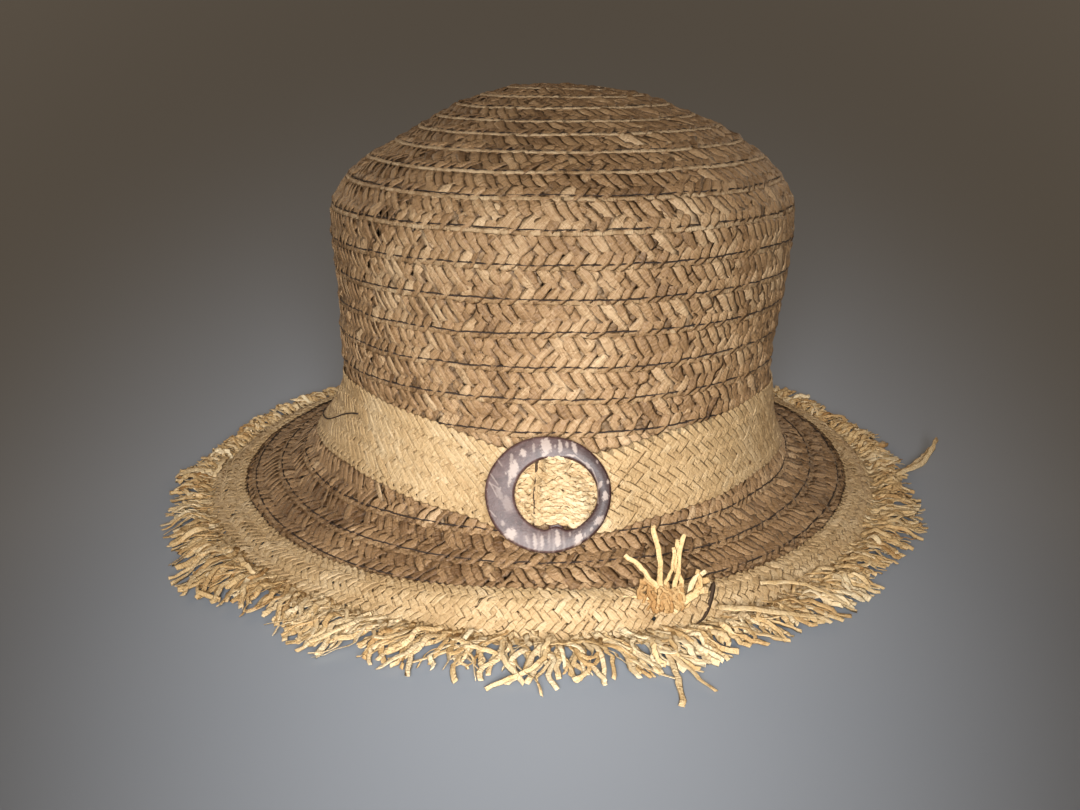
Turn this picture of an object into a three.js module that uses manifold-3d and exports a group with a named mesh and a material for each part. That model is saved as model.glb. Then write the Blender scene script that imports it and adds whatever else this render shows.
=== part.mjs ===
// A woven straw sun hat: a crown and bell brim of dark straw braid sewn in courses,
// a light woven border tape with a frayed fringe, a light woven hat band, and a
// coconut-shell ring buckle on the band at the front.
//
// Millimetres, +Z up, the hat resting on its border on the plane z = 0, the buckle
// towards -Y. Azimuths are degrees from the front (-Y), positive towards +X.

import * as THREE from 'three';
import { ParametricGeometry } from 'three/addons/geometries/ParametricGeometry.js';
import { mergeVertices } from 'three/addons/utils/BufferGeometryUtils.js';
import Module from 'manifold-3d';

const wasm = await Module();
wasm.setup();

// ---------------------------------------------------------------- sizes
const BRAID = 2.0; // thickness of the dark straw wall
const TAPE = 1.6; // thickness of the woven border tape
const BAND = 1.6; // thickness of the woven hat band
const GAP = 0.3; // clearance between pieces
const BAND_GAP = 0.5; // clearance of the band round the crown
const LEAN = THREE.MathUtils.degToRad( 6 ); // the crown leans back from the rim plane
const LAP = 4.0; // how far the brim runs on under the tape
const LAP_DROP = 1.2;
const LAND = 2.5; // width of the flat that the tape rests on
const BRIM_SHIFT = - 1.2; // the brim's centre, sideways of the crown's axis
const BAND_WIDTH = 29.5;
// The band is gathered where it passes the buckle: a wide easing and a short pinch.
const BAND_PINCH = { wide: 5.0, wideReach: 30, short: 5.4, shortReach: 13 };
const FRINGE_THICK = { inner: 2.2, middle: 3.6, outer: 1.2 };
const FRINGE_WAVES = [ { lobes: 11, size: 1.8, turn: 0.4 }, { lobes: 5, size: 1.2, turn: 1.9 } ];

const BUCKLE = {
	width: 43.6, height: 40.4, thick: 3.2, bevel: 0.7,
	holeWidth: 28.6, holeHeight: 25.8, holeAside: 2.8, // the hole sits off centre, so the ring is wider on its left
	barWidth: 5.0, barThick: 2.2,
	x: - 4.4, depth: 105.2, height_at: 28.3, // its centre in the crown's own frame, depth towards the front
	tilt: THREE.MathUtils.degToRad( 22.5 ), // its top leans back from the crown's axis
};
const TUFT = { az: 17.5, radius: 126, along: 10, across: 3.6, high: 6, lift: 17.6 };

// ---------------------------------------------------------------- the crown's courses
// One row for each sewn course, from the tip down, in the crown's own upright frame.
// shift moves the course sideways: the dome is fuller on one side, as a soft crown is.
const COURSES = [
	{ name: 'tip', height: 163.6, halfWidth: 0, halfDepth: 0, shift: 0 },
	{ name: 'dome_1', height: 162.3, halfWidth: 19, halfDepth: 17.5, shift: 0 },
	{ name: 'dome_2', height: 159.6, halfWidth: 30, halfDepth: 29, shift: 0.3 },
	{ name: 'dome_3', height: 156.2, halfWidth: 40, halfDepth: 40.5, shift: 0.8 },
	{ name: 'dome_4', height: 152.1, halfWidth: 49, halfDepth: 51.8, shift: 1.8 },
	{ name: 'dome_5', height: 148.2, halfWidth: 57.5, halfDepth: 63, shift: 3.2 },
	{ name: 'dome_6', height: 142.9, halfWidth: 66.5, halfDepth: 74, shift: 3.2 },
	{ name: 'shoulder_1', height: 137.1, halfWidth: 76, halfDepth: 84.4, shift: 2.2 },
	{ name: 'shoulder_2', height: 129.6, halfWidth: 84.5, halfDepth: 93.8, shift: 1.2 },
	{ name: 'wall_1', height: 119.2, halfWidth: 90.3, halfDepth: 99.7, shift: 0.9 },
	{ name: 'wall_2', height: 107.2, halfWidth: 90.6, halfDepth: 100, shift: 0.6 },
	{ name: 'wall_3', height: 95.2, halfWidth: 89.5, halfDepth: 99, shift: 0.5 },
	{ name: 'wall_4', height: 83.3, halfWidth: 88.2, halfDepth: 97.5, shift: 0.1 },
	{ name: 'wall_5', height: 71.3, halfWidth: 87, halfDepth: 96, shift: - 1.0 },
	{ name: 'wall_6', height: 59.4, halfWidth: 86, halfDepth: 94.8, shift: - 1.5 },
	{ name: 'waist', height: 47.6, halfWidth: 85.5, halfDepth: 93.5, shift: - 1.2 },
];
const WAIST = COURSES.length - 1;
const TOP_EDGE = 8; // the sewing line where the crown's top ends and its wall starts

// A shallow dent in the tip: where it is, how wide and how deep.
const DENT = { x: 11, y: 0, reach: 13, depth: 1.8 };

// ---------------------------------------------------------------- the brim by azimuth
// foot: where the crown ends and the brim starts. low: the last sewn course line.
// rim: where the tape starts. edge: the tape's outer edge. fringe: the reach of the fringe.
// band: how far under the waist the band's top edge lies.
const BRIM = [
	{ az: 0, footR: 100.5, footZ: 24, lowR: 119, lowZ: 11.6, rimR: 121, rimZ: 10.7, edge: 136.2, fringe: 163, band: 5.2 },
	{ az: 30, footR: 95, footZ: 20.8, lowR: 113.7, lowZ: 9.2, rimR: 120.2, rimZ: 7, edge: 134.6, fringe: 156, band: 2 },
	{ az: 60, footR: 90, footZ: 17, lowR: 107, lowZ: 6.6, rimR: 116.5, rimZ: 4.4, edge: 130, fringe: 147, band: - 1.5 },
	{ az: 90, footR: 94, footZ: 14.4, lowR: 113.5, lowZ: 5.2, rimR: 120.2, rimZ: 4.2, edge: 133.4, fringe: 147, band: - 1 },
	{ az: 120, footR: 103.5, footZ: 14.2, lowR: 124, lowZ: 6.6, rimR: 128, rimZ: 5.8, edge: 141, fringe: 153, band: 0 },
	{ az: 150, footR: 109, footZ: 13, lowR: 130, lowZ: 6, rimR: 133.6, rimZ: 5.2, edge: 148.5, fringe: 160, band: - 1 },
	{ az: 180, footR: 110.5, footZ: 11.8, lowR: 132, lowZ: 5.2, rimR: 136, rimZ: 4.4, edge: 151, fringe: 163, band: - 2 },
	{ az: 210, footR: 110.5, footZ: 13, lowR: 131.8, lowZ: 6.4, rimR: 134.8, rimZ: 5.6, edge: 150, fringe: 161, band: - 2 },
	{ az: 240, footR: 108, footZ: 16.6, lowR: 128.6, lowZ: 8.6, rimR: 131.2, rimZ: 7.8, edge: 147.2, fringe: 158, band: - 2.5 },
	{ az: 270, footR: 103.8, footZ: 18.2, lowR: 124.6, lowZ: 6.9, rimR: 129.6, rimZ: 5.5, edge: 145.8, fringe: 156, band: - 4 },
	{ az: 300, footR: 98.2, footZ: 19, lowR: 116, lowZ: 5.8, rimR: 122.8, rimZ: 4.4, edge: 139.8, fringe: 157, band: - 5.5 },
	{ az: 330, footR: 98.3, footZ: 22, lowR: 116.6, lowZ: 9, rimR: 121, rimZ: 7.6, edge: 136.6, fringe: 163, band: - 0.5 },
];

// ---------------------------------------------------------------- interpolation
const TAU = Math.PI * 2;

// A column of BRIM at any azimuth (radians): a periodic Catmull-Rom through the rows.
function brimAt( column, phi ) {

	const n = BRIM.length;
	const t = ( ( phi / TAU ) % 1 + 1 ) % 1 * n;
	const i = Math.floor( t ), f = t - i;
	const [ a, b, c, d ] = [ - 1, 0, 1, 2 ].map( ( k ) => BRIM[ ( i + k + n ) % n ][ column ] );
	return b + 0.5 * f * ( c - a + f * ( 2 * a - 5 * b + 4 * c - d + f * ( 3 * ( b - c ) + d - a ) ) );

}

// From the crown's own frame to the frame of the rim plane.
function leaned( x, y, z ) {

	return new THREE.Vector3( x, y * Math.cos( LEAN ) + z * Math.sin( LEAN ), z * Math.cos( LEAN ) - y * Math.sin( LEAN ) );

}

const crownAxis = leaned( 0, 0, 1 );

function coursePoint( row, phi ) {

	const { halfWidth: a, halfDepth: b, shift, height } = COURSES[ row ];
	const r = a === 0 ? 0 : a * b / Math.hypot( b * Math.sin( phi ), a * Math.cos( phi ) );
	const x = r * Math.sin( phi ) + shift, y = - r * Math.cos( phi );
	const away = Math.hypot( x - DENT.x, y - DENT.y ) / DENT.reach;
	return leaned( x, y, height - DENT.depth * Math.exp( - away * away ) );

}

function brimPoint( r, z, phi ) {

	return new THREE.Vector3( r * Math.sin( phi ) + BRIM_SHIFT, - r * Math.cos( phi ), z );

}

// The outer face of the straw at one azimuth: a smooth line from the tip down through
// every course, the foot and the rim to the hidden edge under the tape.
const lines = new Map();
function strawLine( phi ) {

	const key = Math.round( phi * 1e6 );
	if ( ! lines.has( key ) ) {

		const at = ( c ) => brimAt( c, phi );
		const points = COURSES.map( ( c, row ) => coursePoint( row, phi ) );
		points.push( brimPoint( at( 'footR' ), at( 'footZ' ), phi ) );
		points.push( brimPoint( at( 'rimR' ), at( 'rimZ' ), phi ).lerp( brimPoint( at( 'footR' ), at( 'footZ' ), phi ), 0.5 ).lerp( brimPoint( at( 'lowR' ), at( 'lowZ' ), phi ), 0.5 ) );
		points.push( brimPoint( at( 'rimR' ), at( 'rimZ' ), phi ) );
		points.push( brimPoint( at( 'rimR' ) + LAP, at( 'rimZ' ) - LAP_DROP, phi ) );
		const curve = new THREE.CatmullRomCurve3( points, false, 'centripetal' );
		curve.steps = 16;
		curve.rows = points.length - 1;
		curve.arcLengthDivisions = curve.rows * curve.steps;
		lines.set( key, curve );

	}

	return lines.get( key );

}

const FOOT = WAIST + 1, RIM = WAIST + 3, END = WAIST + 4;

// A point of the outer face at a row number, which may lie between rows, pushed inwards
// along the normal by depth.
function straw( phi, row, depth = 0 ) {

	const point = ( p, i ) => strawLine( p ).getPoint( i / strawLine( p ).rows );
	const here = point( phi, row );
	if ( depth === 0 ) return here;
	if ( row === 0 ) return here.addScaledVector( crownAxis, - depth );
	const down = point( phi, Math.min( row + 0.05, END ) ).sub( point( phi, row - 0.05 ) );
	const round = point( phi + 0.02, row ).sub( point( phi - 0.02, row ) );
	const outward = new THREE.Vector3().crossVectors( round, down ).normalize();
	if ( outward.dot( new THREE.Vector3( here.x, here.y, here.z ) ) < 0 ) outward.negate();
	return here.addScaledVector( outward, - depth );

}

// The row number that lies a length s below the waist, measured along the straw.
function rowBelowWaist( phi, s ) {

	const curve = strawLine( phi ), lengths = curve.getLengths();
	const target = lengths[ WAIST * curve.steps ] + s;
	let k = lengths.findIndex( ( l ) => l > target );
	if ( k < 1 ) k = lengths.length - 1;
	return ( k - 1 + ( target - lengths[ k - 1 ] ) / ( lengths[ k ] - lengths[ k - 1 ] ) ) / curve.steps;

}

// ---------------------------------------------------------------- bodies
const steps = ( from, to, n ) => Array.from( { length: n + 1 }, ( _, i ) => from + ( to - from ) * i / n );

// The azimuths of the sections that all pieces share: closer together at the front.
const TURNS = 64;
const spread = ( t ) => Math.PI * ( 0.6 * t + 0.4 * t * t * t );
const AZIMUTHS = steps( - 1, 1, TURNS ).slice( 0, TURNS ).map( spread );

// A body whose section is a closed loop of points, section( phi ), carried once round the hat.
function ring( section, azimuths = AZIMUTHS ) {

	const turns = azimuths.length;
	const sections = azimuths.map( section );
	const n = sections[ 0 ].length;
	return new ParametricGeometry( ( u, v, target ) => {

		target.copy( sections[ Math.round( v * turns ) % turns ][ Math.round( u * n ) % n ] );

	}, n, turns );

}

// The same for a cup that closes on the crown's axis: the line runs from the outer tip
// down the outside and back up the inside.
function cup( section, azimuths = AZIMUTHS ) {

	const turns = azimuths.length;
	const sections = azimuths.map( section );
	const n = sections[ 0 ].length;
	return new ParametricGeometry( ( u, v, target ) => {

		target.copy( sections[ Math.round( v * turns ) % turns ][ Math.round( u * ( n - 1 ) ) ] );

	}, n - 1, turns );

}

// The crown's top, from the tip over the shoulder to the seam at its edge.
function crownTopGeometry() {

	const outside = steps( 0, TOP_EDGE, TOP_EDGE );
	const inside = [ TOP_EDGE, TOP_EDGE - 0.5, TOP_EDGE - 1, 6, 4, 2, 0 ];
	return cup( ( phi ) => [
		...outside.map( ( row ) => straw( phi, row ) ),
		...inside.map( ( row ) => straw( phi, row, BRAID ) ),
	] );

}

// The crown's wall, from that seam down to the foot.
function crownWallGeometry() {

	const start = TOP_EDGE + 0.03; // a hair under the top's edge
	const outside = [ start, ...steps( TOP_EDGE + 1, WAIST - 1, WAIST - 2 - TOP_EDGE ), WAIST - 0.5, ...steps( WAIST, FOOT, 5 ) ];
	const inside = [ FOOT, FOOT - 0.5, WAIST, 13, 11, TOP_EDGE + 1, start ];
	return ring( ( phi ) => [
		...outside.map( ( row ) => straw( phi, row ) ),
		...inside.map( ( row ) => straw( phi, row, BRAID ) ),
	] );

}

function brimGeometry() {

	const start = FOOT + 0.035; // a hair under the crown's edge
	const over = [ start, FOOT + 0.5, FOOT + 1, FOOT + 1.5, RIM, END ];
	const under = [ END, RIM, FOOT + 1, start ];
	return ring( ( phi ) => [
		...over.map( ( row ) => straw( phi, row ) ),
		...under.map( ( row ) => straw( phi, row, BRAID ) ),
	] );

}

// The under face of the tape in the plane of one azimuth: over the brim's edge, down,
// and flat on the surface.
function tapeLine( phi ) {

	const rimR = brimAt( 'rimR', phi ), rimZ = brimAt( 'rimZ', phi ), edge = brimAt( 'edge', phi );
	const over = rimZ + GAP + 0.15, past = rimR + LAP + 0.9;
	return new THREE.CatmullRomCurve3( [
		new THREE.Vector3( rimR - 0.6, 0, over + 0.15 ),
		new THREE.Vector3( rimR + LAP * 0.5, 0, over - LAP_DROP * 0.4 ),
		new THREE.Vector3( past, 0, over - LAP_DROP * 0.9 ),
		new THREE.Vector3( ( past + edge - LAND ) / 2 + 0.4, 0, ( over - LAP_DROP ) * 0.36 ),
		new THREE.Vector3( edge - LAND, 0, 0 ),
		new THREE.Vector3( edge, 0, 0 ),
	], false, 'centripetal' );

}

function borderGeometry() {

	const stations = [ 0, 0.4, 0.5, 0.6, 0.8, 1 ];
	return ring( ( phi ) => {

		const curve = tapeLine( phi );
		const under = stations.map( ( t ) => curve.getPoint( t ) );
		const over = stations.map( ( t, i ) => {

			const along = curve.getPoint( Math.min( t + 0.02, 1 ) ).sub( curve.getPoint( Math.max( t - 0.02, 0 ) ) ).normalize();
			if ( t >= 0.8 ) along.set( 1, 0, 0 );
			return under[ i ].clone().add( new THREE.Vector3( - along.z, 0, along.x ).multiplyScalar( TAPE ) );

		} );
		return [ ...over, ...under.toReversed() ].map( ( p ) => brimPoint( p.x, Math.max( p.z, 0 ), phi ) );

	} );

}

function fringeGeometry() {

	return ring( ( phi ) => {

		const inner = brimAt( 'edge', phi ) + GAP;
		const outer = brimAt( 'fringe', phi ) + FRINGE_WAVES.reduce( ( sum, w ) => sum + w.size * Math.sin( w.lobes * phi + w.turn ), 0 );
		const middle = inner + 0.35 * ( outer - inner );
		return [
			brimPoint( inner, FRINGE_THICK.inner, phi ),
			brimPoint( middle, FRINGE_THICK.middle, phi ),
			brimPoint( outer, FRINGE_THICK.outer, phi ),
			brimPoint( outer, 0, phi ),
			brimPoint( inner, 0, phi ),
		];

	} );

}

// ---------------------------------------------------------------- band and buckle
const buckleCentre = leaned( BUCKLE.x, - BUCKLE.depth, BUCKLE.height_at );
const buckleOut = leaned( 0, - Math.cos( BUCKLE.tilt ), Math.sin( BUCKLE.tilt ) ); // the way its face looks
const barX = BUCKLE.x + BUCKLE.holeAside;

// The band goes over the bar inside the ring and under both sides of the ring, and eases
// down to the crown beside it. Heights are measured from the plane of the ring's back.
const PASS = { flat: 4.2, under: 8.4, ease: 14, below: 0.55 };
const OVER_BAR = 0.1 + BUCKLE.barThick + GAP + BAND;

function bandFace( phi, row, out ) {

	const face = straw( phi, row, - ( BAND_GAP + out ) );
	const outer = straw( phi, row, - ( BAND_GAP + BAND ) );
	const aside = Math.abs( outer.x - barX );
	if ( outer.y > 0 || aside > 45 ) return face;
	const onCrown = outer.sub( buckleCentre ).dot( buckleOut ) + BUCKLE.thick / 2;
	let height;
	if ( aside < PASS.under ) {

		const t = THREE.MathUtils.smoothstep( aside, PASS.flat, PASS.under );
		height = THREE.MathUtils.lerp( OVER_BAR, - PASS.below, t );

	} else {

		height = THREE.MathUtils.lerp( onCrown, - PASS.below, Math.exp( - Math.pow( ( aside - PASS.under ) / PASS.ease, 2 ) ) );

	}

	face.y -= ( height - onCrown ) / - buckleOut.y;
	return face;

}

function bandGeometry() {

	// The shared sections, with more between them where the band passes the buckle.
	const halve = ( list, reach ) => list.flatMap( ( phi, j ) => Math.abs( phi ) < reach ? [ phi, ( phi + list[ j + 1 ] ) / 2 ] : [ phi ] );
	const azimuths = halve( halve( AZIMUTHS, 0.4 ), 0.16 );
	return ring( ( phi ) => {

		const aside = Math.abs( phi ) < 1 ? 98 * Math.sin( phi ) - barX : 98;
		const pinch = BAND_PINCH.wide * Math.exp( - Math.pow( aside / BAND_PINCH.wideReach, 2 ) )
			+ BAND_PINCH.short * Math.exp( - Math.pow( aside / BAND_PINCH.shortReach, 4 ) );
		const top = brimAt( 'band', phi ) + pinch * 0.5;
		const rows = steps( top, top + BAND_WIDTH - pinch, 4 ).map( ( s ) => rowBelowWaist( phi, s ) );
		return [
			...rows.map( ( row ) => bandFace( phi, row, BAND ) ),
			...rows.toReversed().map( ( row ) => bandFace( phi, row, 0 ) ),
		];

	}, azimuths );

}

// A geometry as a manifold-3d solid, and back.
function solid( geometry ) {

	const g = geometry.clone();
	g.deleteAttribute( 'normal' );
	g.deleteAttribute( 'uv' );
	const merged = mergeVertices( g, 1e-4 );
	return new wasm.Manifold( new wasm.Mesh( {
		numProp: 3,
		vertProperties: new Float32Array( merged.attributes.position.array ),
		triVerts: new Uint32Array( merged.index.array ),
	} ) );

}

function geometryOf( manifold ) {

	const mesh = manifold.getMesh();
	const geometry = new THREE.BufferGeometry();
	geometry.setAttribute( 'position', new THREE.BufferAttribute( new Float32Array( mesh.vertProperties ), 3 ) );
	geometry.setIndex( new THREE.BufferAttribute( new Uint32Array( mesh.triVerts ), 1 ) );
	geometry.computeVertexNormals();
	return geometry;

}

// The ring lies in its own XY plane, its face towards +Z.
function buckleGeometry() {

	const { width, height, thick, bevel, holeWidth, holeHeight, holeAside, barWidth, barThick } = BUCKLE;
	const outline = new THREE.Shape().absellipse( 0, 0, width / 2 - bevel, height / 2 - bevel, 0, TAU );
	outline.holes.push( new THREE.Path().absellipse( holeAside, 0, holeWidth / 2 + bevel, holeHeight / 2 + bevel, 0, TAU, true ) );
	const annulus = new THREE.ExtrudeGeometry( outline, {
		depth: thick - 2 * bevel, bevelEnabled: true, bevelSize: bevel, bevelThickness: bevel, bevelSegments: 2, curveSegments: 20,
	} ).translate( 0, 0, - thick / 2 + bevel );
	const bar = new THREE.BoxGeometry( barWidth, holeHeight + 2.4, barThick )
		.translate( holeAside, 0, - thick / 2 + barThick / 2 + 0.05 );
	return geometryOf( solid( annulus ).add( solid( bar ) ) );

}

// ---------------------------------------------------------------- the hat
const materials = {
	darkStraw: new THREE.MeshStandardMaterial( { color: 0x7a5a38, roughness: 0.8, metalness: 0 } ),
	lightStraw: new THREE.MeshStandardMaterial( { color: 0xb98d52, roughness: 0.85, metalness: 0 } ),
	frayedStraw: new THREE.MeshStandardMaterial( { color: 0xb08348, roughness: 0.9, metalness: 0 } ),
	coconutShell: new THREE.MeshStandardMaterial( { color: 0x5b4a48, roughness: 0.4, metalness: 0 } ),
};

function piece( name, geometry, material ) {

	const mesh = new THREE.Mesh( geometry, material );
	mesh.name = name;
	return mesh;

}

const hat = new THREE.Group();
hat.add( piece( 'crown_top', crownTopGeometry(), materials.darkStraw ) );
hat.add( piece( 'crown_wall', crownWallGeometry(), materials.darkStraw ) );
hat.add( piece( 'brim', brimGeometry(), materials.darkStraw ) );
hat.add( piece( 'brim_border', borderGeometry(), materials.lightStraw ) );
hat.add( piece( 'fringe', fringeGeometry(), materials.frayedStraw ) );
hat.add( piece( 'hat_band', bandGeometry(), materials.lightStraw ) );

const buckle = piece( 'buckle', buckleGeometry(), materials.coconutShell );
buckle.position.copy( buckleCentre );
buckle.quaternion.setFromRotationMatrix( new THREE.Matrix4().makeBasis(
	new THREE.Vector3( 1, 0, 0 ),
	new THREE.Vector3().crossVectors( buckleOut, new THREE.Vector3( 1, 0, 0 ) ),
	buckleOut,
) );
hat.add( buckle );

const tuft = piece( 'fringe_tuft', new THREE.SphereGeometry( 1, 14, 8 ), materials.frayedStraw );
const tuftAz = THREE.MathUtils.degToRad( TUFT.az );
tuft.scale.set( TUFT.along, TUFT.across, TUFT.high );
tuft.rotation.z = tuftAz;
tuft.position.copy( brimPoint( TUFT.radius, TUFT.lift, tuftAz ) );
hat.add( tuft );

// The origin is the centre of the bounding box, at the surface.
const box = new THREE.Box3().setFromObject( hat, true );
hat.position.set( - ( box.min.x + box.max.x ) / 2, - ( box.min.y + box.max.y ) / 2, 0 );

export default hat;
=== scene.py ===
# A woven straw sun hat on a pale floor: every strip of the plaits, the sewing thread,
# the hat band, the border tape, its fringe and the coconut-shell ring are modelled.
# Sizes are in millimetres while a piece is worked out, and in metres once it is a mesh.
import math

import bpy
import numpy as np
from mathutils import Matrix, Vector


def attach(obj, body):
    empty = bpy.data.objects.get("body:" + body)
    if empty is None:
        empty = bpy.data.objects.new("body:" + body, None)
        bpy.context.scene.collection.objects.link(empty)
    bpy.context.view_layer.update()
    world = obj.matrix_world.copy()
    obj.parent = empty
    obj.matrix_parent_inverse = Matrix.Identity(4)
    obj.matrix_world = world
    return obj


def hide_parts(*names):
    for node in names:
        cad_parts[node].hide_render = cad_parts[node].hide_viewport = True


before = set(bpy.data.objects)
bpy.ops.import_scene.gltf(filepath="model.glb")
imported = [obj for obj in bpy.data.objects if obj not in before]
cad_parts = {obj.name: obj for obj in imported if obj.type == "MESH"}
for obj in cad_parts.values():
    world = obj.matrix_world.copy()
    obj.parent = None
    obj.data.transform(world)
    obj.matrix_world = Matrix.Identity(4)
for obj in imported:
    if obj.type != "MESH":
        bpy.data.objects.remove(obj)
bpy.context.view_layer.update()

TAU = 2 * math.pi
MM = 0.001

# ---------------------------------------------------------------- the shape, as in the solids
LEAN = math.radians(6)
LAP, LAP_DROP, LAND, BRIM_SHIFT = 4.0, 1.2, 2.5, -1.2
TAPE, GAP, BAND_GAP, BAND = 1.6, 0.3, 0.5, 1.6
BAND_WIDTH = 29.5
PINCH_WIDE, PINCH_WIDE_REACH, PINCH_SHORT, PINCH_SHORT_REACH = 5.0, 30.0, 5.4, 13.0
HAT_AT = np.array([7.070442, 1.836517, 0.0])  # the hat's own centre in the shared frame

# one row for each sewn course of the crown: height, half width, half depth, shift sideways
COURSES = np.array([
    (163.6, 0, 0, 0), (162.3, 19, 17.5, 0), (159.6, 30, 29, 0.3), (156.2, 40, 40.5, 0.8),
    (152.1, 49, 51.8, 1.8), (148.2, 57.5, 63, 3.2), (142.9, 66.5, 74, 3.2), (137.1, 76, 84.4, 2.2),
    (129.6, 84.5, 93.8, 1.2), (119.2, 90.3, 99.7, 0.9), (107.2, 90.6, 100, 0.6), (95.2, 89.5, 99, 0.5),
    (83.3, 88.2, 97.5, 0.1), (71.3, 87, 96, -1.0), (59.4, 86, 94.8, -1.5), (47.6, 85.5, 93.5, -1.2)], float)
DENT = dict(x=11.0, y=0.0, reach=13.0, depth=1.8)

# one row for each 30 degrees of azimuth, from the front towards +X:
BRIM_COLUMNS = ["footR", "footZ", "lowR", "lowZ", "rimR", "rimZ", "edge", "fringe", "band"]
BRIM = np.array([
    (100.5, 24, 119, 11.6, 121, 10.7, 136.2, 163, 5.2),
    (95, 20.8, 113.7, 9.2, 120.2, 7, 134.6, 156, 2),
    (90, 17, 107, 6.6, 116.5, 4.4, 130, 147, -1.5),
    (94, 14.4, 113.5, 5.2, 120.2, 4.2, 133.4, 147, -1),
    (103.5, 14.2, 124, 6.6, 128, 5.8, 141, 153, 0),
    (109, 13, 130, 6, 133.6, 5.2, 148.5, 160, -1),
    (110.5, 11.8, 132, 5.2, 136, 4.4, 151, 163, -2),
    (110.5, 13, 131.8, 6.4, 134.8, 5.6, 150, 161, -2),
    (108, 16.6, 128.6, 8.6, 131.2, 7.8, 147.2, 158, -2.5),
    (103.8, 18.2, 124.6, 6.9, 129.6, 5.5, 145.8, 156, -4),
    (98.2, 19, 116, 5.8, 122.8, 4.4, 139.8, 157, -5.5),
    (98.3, 22, 116.6, 9, 121, 7.6, 136.6, 163, -0.5)], float)

BUCKLE = dict(width=43.6, height=40.4, thick=3.2, bevel=0.7, hole_w=28.6, hole_h=25.8, aside=2.8,
              bar_w=5.0, bar_t=2.2, x=-4.4, depth=105.2, at=28.3, tilt=math.radians(22.5))
TUFT = dict(az=17.5, radius=126.0, along=10.0, across=3.6, high=6.0, lift=17.6)


def column(name, phi):
    """A column of BRIM at any azimuth, as a periodic Catmull-Rom through the rows."""
    col = BRIM[:, BRIM_COLUMNS.index(name)]
    t = (np.asarray(phi) / TAU) % 1.0 * len(col)
    i = np.floor(t).astype(int)
    f = t - i
    a, b, c, d = (col[(i + k) % len(col)] for k in (-1, 0, 1, 2))
    return b + 0.5 * f * (c - a + f * (2 * a - 5 * b + 4 * c - d + f * (3 * (b - c) + d - a)))


def leaned(x, y, z):
    return np.stack([x + 0 * y + 0 * z, y * math.cos(LEAN) + z * math.sin(LEAN),
                     z * math.cos(LEAN) - y * math.sin(LEAN)], -1)


def brim_point(r, z, phi):
    return np.stack([r * np.sin(phi) + BRIM_SHIFT, -r * np.cos(phi), z + 0 * r], -1)


def centripetal(points, steps):
    """points (n, k, 3) -> (n, (k-1)*steps+1, 3), a centripetal Catmull-Rom through them."""
    p = np.concatenate([2 * points[:, :1] - points[:, 1:2], points, 2 * points[:, -1:] - points[:, -2:-1]], 1)
    d = np.sqrt(np.sqrt(((p[:, 1:] - p[:, :-1]) ** 2).sum(-1)))[..., None]
    x0, x1, x2, x3 = p[:, :-3], p[:, 1:-2], p[:, 2:-1], p[:, 3:]
    d0, d1, d2 = (np.maximum(q, 1e-3) for q in (d[:, :-2], d[:, 1:-1], d[:, 2:]))
    t1 = ((x1 - x0) / d0 - (x2 - x0) / (d0 + d1) + (x2 - x1) / d1) * d1
    t2 = ((x2 - x1) / d1 - (x3 - x1) / (d1 + d2) + (x3 - x2) / d2) * d1
    c2, c3 = -3 * x1 + 3 * x2 - 2 * t1 - t2, 2 * x1 - 2 * x2 + t1 + t2
    w = (np.arange(steps) / steps)[None, None, :, None]
    out = x1[:, :, None] + w * (t1[:, :, None] + w * (c2[:, :, None] + w * c3[:, :, None]))
    return np.concatenate([out.reshape(len(points), -1, 3), points[:, -1:]], 1)


def resample(line, values, wanted):
    """Points of each line (n, m, 3) where its rising values (n, m) reach wanted (n, q)."""
    out = np.empty(wanted.shape + (3,))
    for i in range(len(line)):
        for k in range(3):
            out[i, :, k] = np.interp(wanted[i], values[i], line[i, :, k])
    return out


class Sheet:
    """A surface given by a table over azimuth (periodic) and a second coordinate."""

    def __init__(self, table, lo, hi, outward):
        self.table, self.lo, self.hi = table, lo, hi
        du = np.roll(table, -1, 0) - np.roll(table, 1, 0)
        dv = np.gradient(table, axis=1)
        n = np.cross(du, dv)
        size = np.linalg.norm(n, axis=-1, keepdims=True)
        n = n / np.maximum(size, 1e-9)
        if (n * outward(table)).sum() < 0:
            n = -n
        self.normal = n

    def at(self, phi, c):
        """Position and outward normal at azimuth phi and second coordinate c."""
        nu, nv = self.table.shape[:2]
        u = (np.asarray(phi) / TAU) % 1.0 * nu
        v = np.clip((np.asarray(c) - self.lo) / (self.hi - self.lo), 0, 1) * (nv - 1)
        i = np.floor(u).astype(int)
        j = np.minimum(np.floor(v).astype(int), nv - 2)
        fu, fv = (u - i)[..., None], (v - j)[..., None]
        i0, i1 = i % nu, (i + 1) % nu

        def mix(t):
            return (t[i0, j] * (1 - fu) * (1 - fv) + t[i1, j] * fu * (1 - fv)
                    + t[i0, j + 1] * (1 - fu) * fv + t[i1, j + 1] * fu * fv)
        n = mix(self.normal)
        return mix(self.table), n / np.maximum(np.linalg.norm(n, axis=-1, keepdims=True), 1e-9)


# ---------------------------------------------------------------- the straw's surface
NPHI = 1024
PHI = np.arange(NPHI) / NPHI * TAU
STEPS = 16
WAIST, FOOT, RIM, END = 15, 16, 18, 19


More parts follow.
